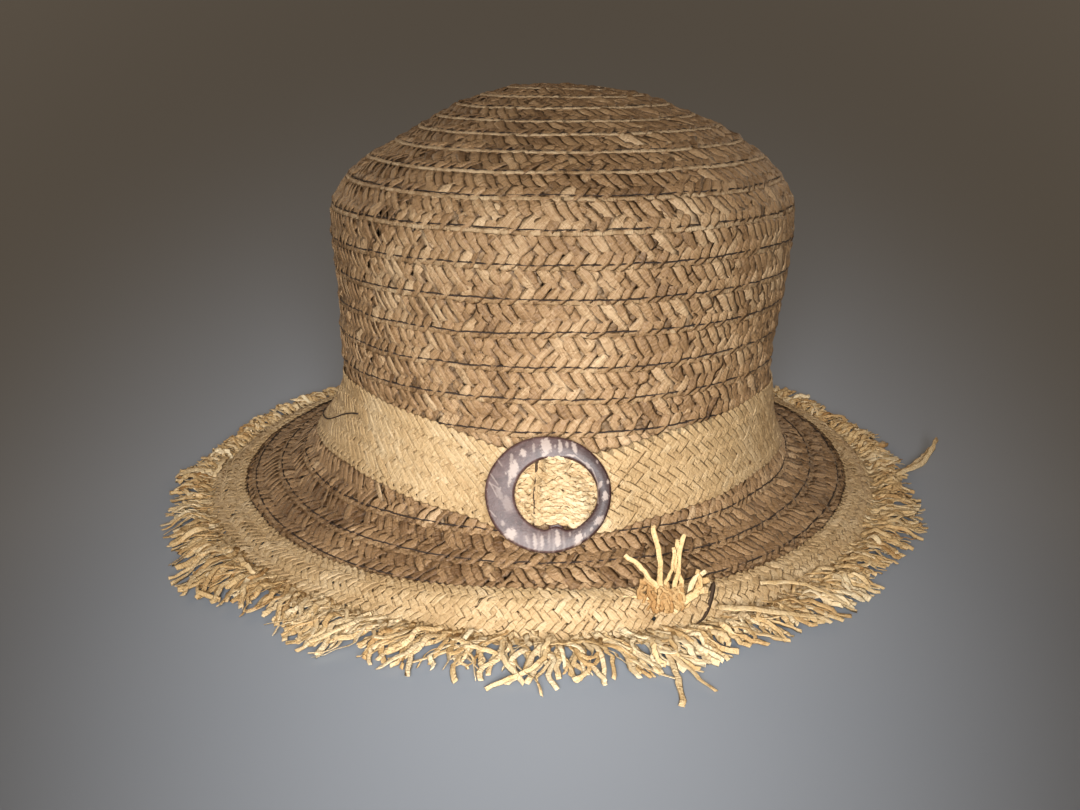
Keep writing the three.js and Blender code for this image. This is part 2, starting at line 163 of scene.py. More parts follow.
def straw_lines():
    rows = []
    s, c = np.sin(PHI), np.cos(PHI)
    for height, a, b, shift in COURSES:
        r = a * b / np.hypot(b * s, a * c) if a else 0 * s
        x, y = r * s + shift, -r * c
        away = np.hypot(x - DENT["x"], y - DENT["y"]) / DENT["reach"]
        rows.append(leaned(x, y, height - DENT["depth"] * np.exp(-away * away)))
    at = {n: column(n, PHI) for n in BRIM_COLUMNS}
    foot = brim_point(at["footR"], at["footZ"], PHI)
    rim = brim_point(at["rimR"], at["rimZ"], PHI)
    low = brim_point(at["lowR"], at["lowZ"], PHI)
    rows += [foot, ((rim + foot) / 2 + low) / 2, rim, brim_point(at["rimR"] + LAP, at["rimZ"] - LAP_DROP, PHI)]
    return centripetal(np.stack(rows, 1), STEPS)


LINES = straw_lines()
ARC = np.concatenate([np.zeros((NPHI, 1)), np.cumsum(np.linalg.norm(np.diff(LINES, axis=1), axis=-1), 1)], 1)

# The course coordinate c is a whole number on each sewing line: 1 to 15 down the crown,
# 16 and 17 under the band, 18 at the foot, 19 and 20 on the brim, 21 at the end.
PITCH = 12.0
PER = 12
CMAX = 21


def course_table():
    knots = [ARC[:, STEPS * k] for k in range(WAIST + 1)]
    waist, foot, end = ARC[:, STEPS * WAIST], ARC[:, STEPS * FOOT], ARC[:, -1]
    knots += [waist + (foot - waist) / 3, waist + (foot - waist) * 2 / 3, foot, foot + PITCH,
              np.minimum(foot + 2 * PITCH, end - 3.5), end]
    knots = np.stack(knots, 1)
    c = np.arange(CMAX * PER + 1) / PER
    wanted = np.stack([np.interp(c, np.arange(CMAX + 1), k) for k in knots])
    return resample(LINES, ARC, wanted)


def outward_of_crown(t):
    return t - np.array([0, 12.0, 60.0])


STRAW = Sheet(course_table(), 0, CMAX, outward_of_crown)


# ---------------------------------------------------------------- small tools
def rng(seed):
    return np.random.default_rng(seed)


def smooth_noise(seed, n, lobes, size):
    """A closed wavy line of n samples: random waves with up to that many lobes."""
    r = rng(seed)
    t = np.arange(n) / n * TAU
    k = np.arange(1, lobes + 1)
    a = r.normal(size=lobes) / np.sqrt(k) / math.sqrt(max(1.0, np.sum(1.0 / k)))
    return size * (a[:, None] * np.sin(k[:, None] * t[None] + r.uniform(0, TAU, lobes)[:, None])).sum(0)


def wave(seed, lobes, size):
    """A closed wavy function of the azimuth."""
    line = smooth_noise(seed, 2048, lobes, size)
    return lambda phi: np.interp((np.asarray(phi) / TAU) % 1.0 * 2048, np.arange(2049), np.append(line, line[0]))


def smoothstep(x, a, b):
    t = np.clip((x - a) / (b - a), 0, 1)
    return t * t * (3 - 2 * t)


def unit(v):
    return v / np.maximum(np.linalg.norm(v, axis=-1, keepdims=True), 1e-9)


class Mesh:
    """Gathers vertices, quads and per-vertex values, and makes one object of them."""

    def __init__(self):
        self.v, self.f, self.a, self.n = [], [], {}, 0

    def add(self, verts, quads, **values):
        verts = verts.reshape(-1, 3)
        self.v.append(verts)
        self.f.append(quads.reshape(-1, 4) + self.n)
        for k, x in values.items():
            self.a.setdefault(k, []).append(np.asarray(x, float).reshape(len(verts), -1))
        self.n += len(verts)

    def build(self, name, material, smooth=True):
        v = np.concatenate(self.v) + HAT_AT
        v[:, 2] = np.maximum(v[:, 2], 0.12)
        v = v * MM
        f = np.concatenate(self.f)
        tri = f[:, 2] == f[:, 3]
        size = np.where(tri, 3, 4)
        start = np.concatenate([[0], np.cumsum(size)[:-1]])
        keep = np.ones(f.shape, bool)
        keep[tri, 3] = False
        loops = f[keep]
        m = bpy.data.meshes.new(name)
        m.vertices.add(len(v))
        m.vertices.foreach_set("co", v.astype(np.float32).ravel())
        m.loops.add(len(loops))
        m.loops.foreach_set("vertex_index", loops.astype(np.int32))
        m.polygons.add(len(f))
        m.polygons.foreach_set("loop_start", start.astype(np.int32))
        m.polygons.foreach_set("use_smooth", np.full(len(f), smooth))
        m.update(calc_edges=True)
        for k, parts in self.a.items():
            x = np.concatenate(parts)
            kind = "FLOAT" if x.shape[1] == 1 else "FLOAT_VECTOR"
            at = m.attributes.new(k, kind, "POINT")
            at.data.foreach_set("value" if kind == "FLOAT" else "vector", x.astype(np.float32).ravel())
        m.validate()
        o = bpy.data.objects.new(name, m)
        bpy.context.scene.collection.objects.link(o)
        o.data.materials.append(material)
        tris = int((size - 2).sum())
        print(f"PIECE {name}: {tris} triangles")
        return o


# section of a strip: across (in half widths) and height (in units of its thickness)
SECTION = np.array([(-1.0, -0.15), (-0.50, 0.95), (0.35, 0.90), (1.0, -0.05), (0.0, -0.7)])
RIDGED = np.array([(-1.0, 0.05), (-0.62, 1.1), (-0.08, 0.42), (0.5, 1.0), (1.0, 0.0), (0.0, -0.6)])
THIN = np.array([(-1.0, -0.1), (-0.62, 0.75), (0.55, 0.85), (1.0, -0.1), (0.0, -0.5)])
CORD = np.array([(-1.0, -0.4), (0.0, 1.0), (1.0, -0.4)])


def strips(mesh, centre, normal, half, thick, closed, section=SECTION, roll=None, tone=None, rank=None, crumple=0.0, seed=0):
    """Ribbons along centre (n, m, 3): half width and thickness (n, m); closed loops or capped ends.
    crumple moves every corner up or down at random, by about that much."""
    n, m = centre.shape[:2]
    if closed:
        t = np.roll(centre, -1, 1) - np.roll(centre, 1, 1)
        gap = np.linalg.norm(np.roll(centre, -1, 1) - centre, axis=-1)
        along = np.cumsum(gap, 1) - gap
    else:
        t = np.gradient(centre, axis=1)
        gap = np.linalg.norm(np.diff(centre, axis=1), axis=-1)
        along = np.concatenate([np.zeros((n, 1)), np.cumsum(gap, 1)], 1)
    b = unit(np.cross(normal, unit(t)))
    if roll is not None:
        q = roll[..., None]
        b, normal = b * np.cos(q) + normal * np.sin(q), normal * np.cos(q) - b * np.sin(q)
    k = len(section)
    shape = (n, m, k)
    up = thick[..., None] * section[:, 1]
    across = half[..., None] * section[:, 0]
    if crumple:
        r = rng(9000 + seed)
        up = up + crumple * r.normal(size=shape)
        across = across + 0.5 * crumple * r.normal(size=shape)
    v = centre[:, :, None] + b[:, :, None] * across[..., None] + normal[:, :, None] * up[..., None]
    i = np.arange(n)[:, None, None] * (m * k)
    j = np.arange(m if closed else m - 1)[None, :, None]
    s = np.arange(k)[None, None, :]
    j1, s1 = (j + 1) % m, (s + 1) % k
    quads = [np.stack([i + j * k + s, i + j1 * k + s, i + j1 * k + s1, i + j * k + s1], -1).reshape(-1, 4)]
    if not closed:
        i = np.arange(n)[:, None] * (m * k)
        fans = np.arange(1, k - 1)[None, :]
        first = np.stack([i + 0 * fans, i + fans, i + fans + 1, i + fans + 1], -1).reshape(-1, 4)
        e = i + (m - 1) * k
        last = np.stack([e + 0 * fans, e + fans + 1, e + fans, e + fans], -1).reshape(-1, 4)
        quads += [first, last]
    vec = np.stack([np.broadcast_to(along[..., None], shape), np.broadcast_to(section[:, 0] * half[..., None], shape),
                    np.broadcast_to((np.arange(n) * 7.31 + seed * 3.7)[:, None, None], shape)], -1)
    tone = np.zeros((n, m)) if tone is None else tone
    rank = np.zeros((n, m)) if rank is None else rank
    # the deep value drives painted shade in the material: the lower side and the edges of each strip come out darker
    mesh.add(v, np.concatenate(quads), strip=vec, tone=np.broadcast_to(tone[..., None], shape).reshape(-1, 1),
             deep=(np.broadcast_to(rank[..., None], shape) + 0.25 * section[:, 1] - 0.35 * np.abs(section[:, 0]) ** 3).reshape(-1, 1))


def plait(mesh, place, cells, strands, over, samples, half, thick, layer, seed, mess=1.0, tone_size=0.5,
          turn_pinch=0.62, roll=0.10, section=SECTION, crumple=0.0, flatten=None, puff=0.0, swell=None, shake=0.07, shade=0.0):
    """A flat plait carried once round the hat. place(phi, v, h) gives a point and a normal for v across it
    (0 to 1) and a height h. over(v, phi) says how far a strip going down lies on top (1) or under (-1).
    cells is the number of strips met along it in one lap, a multiple of strands."""
    r = rng(seed)
    laps = cells // strands
    t = np.asarray(samples)
    path = np.concatenate([t, 1 + t])  # one period: down, then up
    u = (np.arange(laps)[:, None] + path[None] / 2).ravel()  # in periods
    down = np.tile(np.concatenate([np.ones(len(t), bool), np.zeros(len(t), bool)]), laps)
    f = np.tile(np.concatenate([t, t]), laps)
    v = np.where(down, f, 1 - f)
    i = np.arange(strands)[:, None]
    phi = (i + strands * u[None]) / cells * TAU
    # each traverse wanders a little, and each strip is a little wider or narrower
    legs = 2 * laps
    leg = (np.floor(2 * u + 1e-6)).astype(int) % legs
    jig, jig2, jig3, jig4 = (r.normal(size=(strands, legs))[:, leg] for _ in range(4))
    bend = np.sin(math.pi * f)[None]
    vv = np.broadcast_to(v, phi.shape)
    h = np.where(down, 1.0, -1.0)[None] * over(vv, phi) * layer
    phi = phi + mess * (0.12 * jig * bend + 0.05 * jig4 * np.sin(2 * math.pi * f)[None]) * TAU / cells
    h = h * (1 + 0.15 * mess * jig3 * bend)
    # where it lies on top each strip swells, and it narrows where it dives under the next
    fat = swell(vv) if swell else 0.45 + 0 * vv
    h = h + puff * (1 + 0.3 * jig3) * fat * (h > 0)
    if flatten is not None:
        h = h * flatten(vv)
    turn = np.where((f < 0.01) | (f > 0.99), 1.0, 0.0)[None]
    h = h * (1 - turn)
    centre, normal = place(phi, vv, h)
    w = half * (1 + 0.11 * mess * jig2 + 0.05 * mess * r.normal(size=phi.shape)) * (1 - turn_pinch * turn) \
        * (1 + 0.9 * puff * (fat - 0.45) * (1 - turn))
    th = thick * np.clip(1 + 0.18 * mess * jig3, 0.6, 1.6) * (1 + 0.5 * turn)
    # shade shifts the tone of a whole course as painted light or shade; the rank below darkens strips that lie under,
    # as painted shade
    tone = shade + tone_size * (0.6 * jig + 0.3 * r.normal(size=phi.shape) + 0.35 * r.normal(size=(strands, 1)))
    q = roll * np.where(down, 1.0, -1.0)[None] * (1 - turn) + shake * mess * jig
    strips(mesh, centre, normal, w, th, True, section=section, roll=q, tone=tone,
           rank=h / layer * (1 - turn) + 0.6 * turn, crumple=crumple, seed=seed)


# ---------------------------------------------------------------- materials
# gap_shade_colour and gap_shade set the painted shade in the gaps between strips
def straw_material(name, dark, mid, light, gap_shade_colour, fibre=0.35, rough=0.62, bump=0.35, gap_shade=0.75, sheen=0.15, crinkle=0.5, slant=0.0, gloss=0.38):
    mat = bpy.data.materials.new(name)
    mat.use_nodes = True
    nt = mat.node_tree
    nt.nodes.clear()
    add = nt.nodes.new
    link = nt.links.new
    out = add("ShaderNodeOutputMaterial")
    b = add("ShaderNodeBsdfPrincipled")
    link(b.outputs[0], out.inputs[0])
    strip, tone, deep = (add("ShaderNodeAttribute") for _ in range(3))
    strip.attribute_name, tone.attribute_name, deep.attribute_name = "strip", "tone", "deep"
    # long fibres of the strip, fine and stretched along it
    stretch = add("ShaderNodeVectorMath"); stretch.operation = "MULTIPLY"
    stretch.inputs[1].default_value = (0.16, 3.6, 1.0)
    link(strip.outputs["Vector"], stretch.inputs[0])
    fine = add("ShaderNodeTexNoise"); fine.inputs["Scale"].default_value = 1.0
    fine.inputs["Detail"].default_value = 5.0; fine.inputs["Roughness"].default_value = 0.65
    link(stretch.outputs[0], fine.inputs["Vector"])
    # crinkles across the strip
    cross = add("ShaderNodeMapping"); cross.vector_type = "POINT"
    cross.inputs["Rotation"].default_value = (0, 0, slant)
    cross.inputs["Scale"].default_value = (1.15, 0.45, 1.0) if not slant else (1.9, 0.35, 1.0)
    link(strip.outputs["Vector"], cross.inputs["Vector"])
    wrinkle = add("ShaderNodeTexNoise"); wrinkle.inputs["Scale"].default_value = 1.0
    wrinkle.inputs["Detail"].default_value = 3.0; wrinkle.inputs["Distortion"].default_value = 0.6
    link(cross.outputs[0], wrinkle.inputs["Vector"])
    # slow blotches over the whole hat
    geo = add("ShaderNodeTexCoord")
    blotch = add("ShaderNodeTexNoise"); blotch.inputs["Scale"].default_value = 34.0
    blotch.inputs["Detail"].default_value = 3.0
    link(geo.outputs["Object"], blotch.inputs["Vector"])
    # value = 0.5 + tone * 0.28 + (fine - .5) * fibre + (blotch - .5) * .5
    def math_node(op, a=None, bb=None, c=None):
        n = add("ShaderNodeMath"); n.operation = op
        for i, x in enumerate((a, bb, c)):
            if x is None:
                continue
            if isinstance(x, (int, float)):
                n.inputs[i].default_value = x
            else:
                link(x, n.inputs[i])
        return n.outputs[0]
    v1 = math_node("MULTIPLY_ADD", tone.outputs["Fac"], 0.26, 0.5)
    v2 = math_node("MULTIPLY_ADD", fine.outputs["Fac"], fibre * 2, v1)
    v3 = math_node("MULTIPLY_ADD", blotch.outputs["Fac"], 0.7, v2)
    v4 = math_node("ADD", v3, -fibre - 0.35)
    v5 = math_node("MULTIPLY_ADD", wrinkle.outputs["Fac"], 0.3, v4)
    v6 = math_node("ADD", v5, -0.15)
    ramp = add("ShaderNodeValToRGB")
    e = ramp.color_ramp.elements
    e[0].position, e[0].color = 0.08, (*dark, 1)
    e[1].position, e[1].color = 0.95, (*light, 1)
    m = e.new(0.5); m.color = (*mid, 1)
    link(v6, ramp.inputs["Fac"])
    # painted shade: strips that lie under, and the edges of strips, are darkened towards the gap shade colour, standing
    # in for the shade of the gaps
    d = add("ShaderNodeMapRange")
    d.inputs["From Min"].default_value, d.inputs["From Max"].default_value = -0.9, 0.55
    d.inputs["To Min"].default_value, d.inputs["To Max"].default_value = gap_shade, 0.0
    d.interpolation_type = "SMOOTHSTEP"
    link(deep.outputs["Fac"], d.inputs["Value"])
    mix = add("ShaderNodeMix"); mix.data_type = "RGBA"
    link(d.outputs["Result"], mix.inputs[0])
    link(ramp.outputs["Color"], mix.inputs[6])
    mix.inputs[7].default_value = (*gap_shade_colour, 1)
    link(mix.outputs[2], b.inputs["Base Color"])
    r = math_node("MULTIPLY_ADD", fine.outputs["Fac"], 0.22, rough - 0.11)
    link(r, b.inputs["Roughness"])
    b.inputs["Sheen Weight"].default_value = sheen
    b.inputs["Sheen Roughness"].default_value = 0.4
    b.inputs["Specular IOR Level"].default_value = gloss
    bmp1 = add("ShaderNodeBump"); bmp1.inputs["Strength"].default_value = bump
    bmp1.inputs["Distance"].default_value = 0.0004
    link(fine.outputs["Fac"], bmp1.inputs["Height"])
    bmp2 = add("ShaderNodeBump"); bmp2.inputs["Strength"].default_value = crinkle
    bmp2.inputs["Distance"].default_value = 0.0009
    link(wrinkle.outputs["Fac"], bmp2.inputs["Height"])
    link(bmp1.outputs[0], bmp2.inputs["Normal"])
    link(bmp2.outputs[0], b.inputs["Normal"])
    return mat


def thread_material(name, colour):
    mat = bpy.data.materials.new(name)
    mat.use_nodes = True
    nt = mat.node_tree
    b = nt.nodes["Principled BSDF"]
    a = nt.nodes.new("ShaderNodeAttribute"); a.attribute_name = "strip"
    w = nt.nodes.new("ShaderNodeTexWave"); w.inputs["Scale"].default_value = 3.0
    w.inputs["Distortion"].default_value = 1.5
    nt.links.new(a.outputs["Vector"], w.inputs["Vector"])
    ramp = nt.nodes.new("ShaderNodeValToRGB")
    ramp.color_ramp.elements[0].color = (*[c * 0.6 for c in colour], 1)
    ramp.color_ramp.elements[1].color = (*[c * 1.5 for c in colour], 1)
    nt.links.new(w.outputs["Fac"], ramp.inputs["Fac"])
    nt.links.new(ramp.outputs["Color"], b.inputs["Base Color"])
    bump = nt.nodes.new("ShaderNodeBump"); bump.inputs["Strength"].default_value = 0.4
    bump.inputs["Distance"].default_value = 0.0002
    nt.links.new(w.outputs["Fac"], bump.inputs["Height"])
    nt.links.new(bump.outputs[0], b.inputs["Normal"])
    b.inputs["Roughness"].default_value = 0.7
    return mat


DARK_STRAW = straw_material("dark_straw", (0.110, 0.053, 0.019), (0.312, 0.183, 0.084), (0.61, 0.436, 0.255),
                            (0.024, 0.010, 0.003), fibre=0.46, bump=0.7, gap_shade=0.62, crinkle=1.0, rough=0.46, sheen=0.0, gloss=0.46)
SELVEDGE = straw_material("dark_selvedge", (0.13, 0.068, 0.027), (0.285, 0.172, 0.080), (0.50, 0.355, 0.205),
                          (0.024, 0.011, 0.004), fibre=0.34, bump=0.5, gap_shade=0.55, crinkle=1.0, slant=1.1, rough=0.48, sheen=0.0, gloss=0.36)
THREAD = thread_material("brown_thread", (0.024, 0.011, 0.005))
# SHADED colours the dark strips laid where a fold or a slit is in shade: painted shade
SHADED = thread_material("shaded_fold", (0.050, 0.025, 0.009))
LIGHT_STRAW = straw_material("light_straw", (0.31, 0.180, 0.072), (0.49, 0.330, 0.163), (0.68, 0.530, 0.330),
                             (0.20, 0.105, 0.032), fibre=0.50, bump=0.9, gap_shade=0.30, crinkle=0.8, rough=0.46, sheen=0.0, gloss=0.45)
# the fringe straw is paler than the tape's light straw: partly its own colour, partly painted light, since its flat
# strips catch less of the key light
FRAYED = straw_material("frayed_straw", (0.42, 0.225, 0.080), (0.68, 0.460, 0.215), (0.88, 0.71, 0.45),
                        (0.20, 0.095, 0.030), fibre=0.45, bump=0.8, gap_shade=0.42, crinkle=0.95, rough=0.56, sheen=0.0, gloss=0.22)


# ---------------------------------------------------------------- the dark plait, course by course
PLAIT_TOP, PLAIT_BOTTOM = 0.95, 0.17  # how far a course reaches above and below its sewing line
STITCH = PLAIT_TOP / (PLAIT_TOP + PLAIT_BOTTOM)
SEAM_WAVES = {k: wave(100 + k, 14, 0.030) for k in range(CMAX + 1)}
SEAM_SHAKE = {k: wave(300 + k, 90, 0.012) for k in range(CMAX + 1)}


def seam_shift(c, phi):
    k = np.floor(c).astype(int)
    f = c - k
    out = np.zeros(np.broadcast(c, phi).shape)
    for j in np.unique(k):
        at = k == j
        lo, hi = min(max(j, 0), CMAX), min(max(j + 1, 0), CMAX)
        a = SEAM_WAVES[lo](phi) + SEAM_SHAKE[lo](phi)
        b = SEAM_WAVES[hi](phi) + SEAM_SHAKE[hi](phi)
        out = np.where(at, a * (1 - f) + b * f, out)
    return out


def course_place(top, bottom, base=-0.95, tilt=0.75, bulge=0.35, groove=0.30, seed=0):
    lump = wave(700 + seed, 120, 0.10)

    def place(phi, v, h):
        c = top + (bottom - top) * v
        c = c + seam_shift(c, phi)
        p, n = STRAW.at(phi, c)
        g = base + tilt * v + bulge * np.sin(math.pi * np.clip(v, 0, 1)) + lump(phi) * np.sin(math.pi * np.clip(v, 0, 1))
        g = g - groove * np.exp(-((v - STITCH) / 0.045) ** 2)
        return p + n * (g + h)[..., None], n
    return place


CHEVRON_SAMPLES = [0.0, 0.08, 0.27, 0.45, 0.56, 0.69, 0.79, STITCH, 0.93]


def two_swells(v):
    """Where the strips of a course swell: halfway down the part above the vertex line, and below it."""
    return np.where(v < 0.54, np.sin(math.pi * v / 0.54) ** 2,
                    np.where(v < STITCH, np.sin(math.pi * (v - 0.54) / (STITCH - 0.54)) ** 2, 0.0))


def chevrons(cells, seed):
    """The herringbone of a course: strips going down lie on top above the vertex line and
    under below it. The vertex line wanders, and here and there a crossing is the other way round."""
    r = rng(seed)
    wander = 0.075 * r.normal(size=cells) + 0.02
    slow = wave(seed + 1, 20, 0.035)
    flag = r.random(cells) < 0.34
    level = np.where(r.random(cells) < 0.6, 0.24, 0.76) + 0.04 * r.normal(size=cells)

    def over(v, phi):
        t = (phi / TAU) % 1.0 * cells
        i = np.floor(t).astype(int) % cells
        f = t - np.floor(t)
        w = wander[i] * (1 - f) + wander[(i + 1) % cells] * f + slow(phi)
        o = np.tanh(7 * (0.54 + w - v)) / math.tanh(3.5)
        near = np.where(flag[i], np.exp(-((v - level[i]) / 0.11) ** 2) * np.sin(math.pi * f) ** 0.5, 0.0)
        return o * (1 - 2 * smoothstep(near, 0.25, 0.75))
    return over


def girth(c):
    p, _ = STRAW.at(PHI, np.full(NPHI, float(c)))
    return np.linalg.norm(np.roll(p, -1, 0) - p, axis=1).sum()


def course(mesh, k, top=None, bottom=None, strands=5, spacing=4.1, seed=0):
    top = k - PLAIT_TOP if top is None else top
    bottom = k + PLAIT_BOTTOM if bottom is None else bottom
    length = girth((top + bottom) / 2)
    cells = strands * max(2, round(length / (strands * spacing)))
    place = course_place(top, bottom, seed=13 * k + seed)
    pitch = length / cells
    angle = math.atan2(13.4, strands / 2 * pitch)
    half = 0.5 * pitch * math.sin(angle) * 1.24
    last = bottom >= CMAX
    # painted shade: courses on the brim, on the dome and under the band get a darker tone, standing in for the weaker
    # light there
    shade = -0.60 if k > 18 else -0.25 if k > 16 else -0.60 if k < 7 else -0.35 if k < 9 else 0.0
    plait(mesh, place, cells, strands, chevrons(cells, 1500 + 13 * k + seed), CHEVRON_SAMPLES, half, 0.33, 0.30,
          seed=1000 + 13 * k + seed, mess=0.95, crumple=0.075, roll=0.13, puff=0.36, swell=two_swells, shake=0.13, shade=shade,
          flatten=None if last else (lambda v: 1 - 0.75 * smoothstep(v, STITCH - 0.06, STITCH)))
    return place


def stitches(mesh, place, v, length, seed, spacing=4.4, radius=0.32, rise=0.98, dive=0.16):
    """The sewing thread along a course: long stitches on top that dive between."""
    n = max(8, round(length / spacing))
    t = np.array([0.0, 0.30, 0.72])
    r = rng(seed)
    u = (np.arange(n)[:, None] + t[None]).ravel() + np.repeat(r.normal(size=n) * 0.06, len(t))
    phi = u / n * TAU
    h = np.tile(np.array([-dive, 0.06, 0.03]), n) + rise
    sunk = np.repeat((r.random(n) < 0.05) * 0.4, len(t))
    vv = v + 0.004 * r.normal(size=len(u)) + np.repeat(0.006 * r.normal(size=n), len(t))
    p, nn = place(phi[None], vv[None], (h - sunk)[None])
    w = np.full(p.shape[:2], radius)
    strips(mesh, p, nn, w, w, True, section=CORD)


FOLDED = np.array([(-1.0, -0.3), (-0.60, 0.95), (0.40, 1.0), (1.0, 0.0), (0.0, -0.9)])


def selvedge(mesh, place, length, seed, fold=3.4, half=0.98, shade=0.0, lift=0.0):
    """The folded edge of the plait below its sewing line: a low rounded band, pressed in at
    every turned strip."""
    n = max(8, round(length / fold))
    per = 3
    r = rng(seed)
    m = n * per
    u = np.arange(m) / per
    phi = (u / n * TAU)
    turn = np.tile(np.array([0.0, 0.9, 0.75]), n)
    size = np.repeat(1 + 0.25 * r.normal(size=n), per)
    h = 0.02 + lift + 0.22 * turn * size + 0.04 * r.normal(size=m)
    v = (STITCH + 1.0) / 2 + 0.012 + 0.004 * turn + 0.004 * r.normal(size=m)
    p, nn = place(phi[None], v[None], h[None])
    w = (half * (0.84 + 0.16 * turn * size))[None]
    th = (0.26 * (0.8 + 0.3 * turn))[None]
    # shade shifts the tone as painted light or shade, set per course in build_dark; the rank makes the lower parts
    # between turns darker, as painted shade
    tone = shade + np.repeat(0.5 * r.normal(size=n), per) + 0.2 * r.normal(size=m)
    strips(mesh, p, nn, w, th, True, section=FOLDED, tone=tone[None], rank=(0.35 + 0.35 * turn)[None], crumple=0.035, seed=seed)


def build_dark():
    groups = [("dome_plait", range(1, 9)), ("wall_plait", range(9, 16)), ("foot_plait", range(16, 19)), ("brim_plait", range(19, 22))]
    made = []
    for name, ks in groups:
        mesh, seams, edge = Mesh(), Mesh(), Mesh()
        for k in ks:
            if k == 1:
                course(mesh, 1, top=0.0, bottom=0.50, strands=5, spacing=3.2, seed=5)
                place = course(mesh, 1, top=0.36, bottom=1.0 + PLAIT_BOTTOM, strands=5, spacing=3.9)
            elif k == CMAX:
                place = course(mesh, k, bottom=float(CMAX))
            else:
                place = course(mesh, k)
            if k < CMAX:
                # on the dome the folded edges stand proud; their paler tone is a painted highlight over courses
                # darkened by painted shade, and on the brim the folded edges get painted shade
                high = 1.0 if k < 8 else 0.5 if k < 10 else 0.0
                stitches(seams, place, STITCH, girth(k), seed=50 + k, rise=0.98 - 0.22 * high, radius=0.32 - 0.06 * high)
                selvedge(edge, place, girth(k + 0.08), seed=80 + k, shade=-0.6 if k > 17 else 1.3 * high, lift=0.40 * high)
        made.append((name, mesh.build(name, DARK_STRAW)))
        made.append((name + "_edge", edge.build(name + "_edge", SELVEDGE)))
        made.append((name + "_seams", seams.build(name + "_seams", THREAD)))
    return dict(made)


for name, o in build_dark().items():
    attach(o, "root")
    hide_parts({"dome": "crown_top", "wall": "crown_wall", "foot": "crown_wall", "brim": "brim"}[name[:4]])


def finished(o, slot, *nodes):
    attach(o, "root")
    if nodes:
        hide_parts(*nodes)
    return o


# ---------------------------------------------------------------- the ring's own frame
RING_AT = leaned(BUCKLE["x"], -BUCKLE["depth"], BUCKLE["at"])
RING_OUT = leaned(0.0, -math.cos(BUCKLE["tilt"]), math.sin(BUCKLE["tilt"]))
RING_RIGHT = np.array([1.0, 0.0, 0.0])
RING_UP = np.cross(RING_OUT, RING_RIGHT)
BAR_X = BUCKLE["x"] + BUCKLE["aside"]
OVER_BAR = 0.1 + BUCKLE["bar_t"] + GAP + BAND


# ---------------------------------------------------------------- the hat band
def band_sheet():
    """The middle face of the band: round the foot of the crown, under both sides of the
    ring and over its bar. The second coordinate runs from its top edge, 0, to its lower edge, 1."""
    rows = 41
    aside0 = np.where(np.cos(PHI) > 0.54, 98 * np.sin(PHI) - BAR_X, 98.0)
    wide = PINCH_WIDE * np.exp(-(aside0 / PINCH_WIDE_REACH) ** 2)
    short = np.exp(-(aside0 / PINCH_SHORT_REACH) ** 4)
    upper = column("band", PHI) + wide / 2 - 1.4 * short
    lower = column("band", PHI) + BAND_WIDTH - (wide + PINCH_SHORT * short) / 2 - 1.5 * np.exp(-(aside0 / 7.0) ** 4)
    v = np.linspace(0, 1, rows)
    s = upper[:, None] + (lower - upper)[:, None] * v[None]
    # both edges are a little wavy
    s = s + wave(41, 26, 0.35)(PHI)[:, None] * (1 - v) + wave(42, 26, 0.4)(PHI)[:, None] * v
    line = resample(LINES, ARC, ARC[:, STEPS * WAIST][:, None] + s)
    du = np.roll(line, -1, 0) - np.roll(line, 1, 0)
    n = unit(np.cross(du, np.gradient(line, axis=1)))
    if (n * outward_of_crown(line)).sum() < 0:
        n = -n
    face = line + n * (BAND_GAP + 0.75)
    outer = line + n * (BAND_GAP + BAND)
    side = outer[..., 0] - BAR_X
    aside = np.abs(side)
    on_crown = (outer - RING_AT) @ RING_OUT + BUCKLE["thick"] / 2
    # inside the ring: a soft fold that fills the hole and lies over the bar, lower left of a crease
    across, up = outer[..., 0] - RING_AT[0], (outer - RING_AT) @ RING_UP
    away = np.hypot((across - BUCKLE["aside"]) / 14.3, up / 12.9)
    crease = -6.4 - 1.3 * np.exp(-((up + 5.0) / 4.0) ** 2) + 1.6 * np.exp(-((up + 12.5) / 3.0) ** 2)
    inside = 4.0 - 4.3 * smoothstep(away, 0.62, 0.99) - 2.1 * (1 - smoothstep(side, crease - 0.4, crease + 0.8))
    over_bar = 3.5 * np.exp(-(side / 3.9) ** 6)
    inside = np.maximum(np.maximum(inside, -0.3), over_bar)
    beside = on_crown + (-0.5 - on_crown) * np.exp(-(np.maximum(aside - 13.4, 0) / 12.0) ** 2)
    height = np.where(aside < 13.4, inside, beside)
    gather = np.exp(-(aside / 15.0) ** 2) * np.sin(math.pi * v) ** 0.5
    height = height + gather * (0.38 * np.sin(TAU * (4.6 * v[None] + 0.5 * np.sin(aside / 6.0) + 0.1 * side / 6.0))
                                + 0.30 * np.sin(TAU * (8.3 * v[None] + 0.35 * np.sin(side / 2.6) + 0.2))) * (1 + 0 * side)
    move = (outer[..., 1] < 0) & (aside < 48)
    face[..., 1] -= np.where(move, (height - on_crown) / -RING_OUT[1], 0.0)
    return Sheet(face, 0, 1, outward_of_crown)


BAND_FACE = band_sheet()


def twill(strands, cells, seed, bias=0.25, sharp=2.4, mistakes=0.10):
    """Over two and under two, so the crossings make rows of slanted cells."""
    r = rng(seed)
    flag = r.random(cells) < mistakes
    level = r.random(cells)

    def over(v, phi):
        i = np.floor((phi / TAU) % 1.0 * cells).astype(int) % cells
        o = np.tanh(sharp * (np.cos(math.pi * (strands * v - 1.5) / 2) + bias)) / math.tanh(sharp)
        near = np.where(flag[i], np.exp(-((v - level[i]) / 0.07) ** 2), 0.0)
        return o * (1 - 1.6 * smoothstep(near, 0.3, 0.8))
    return over


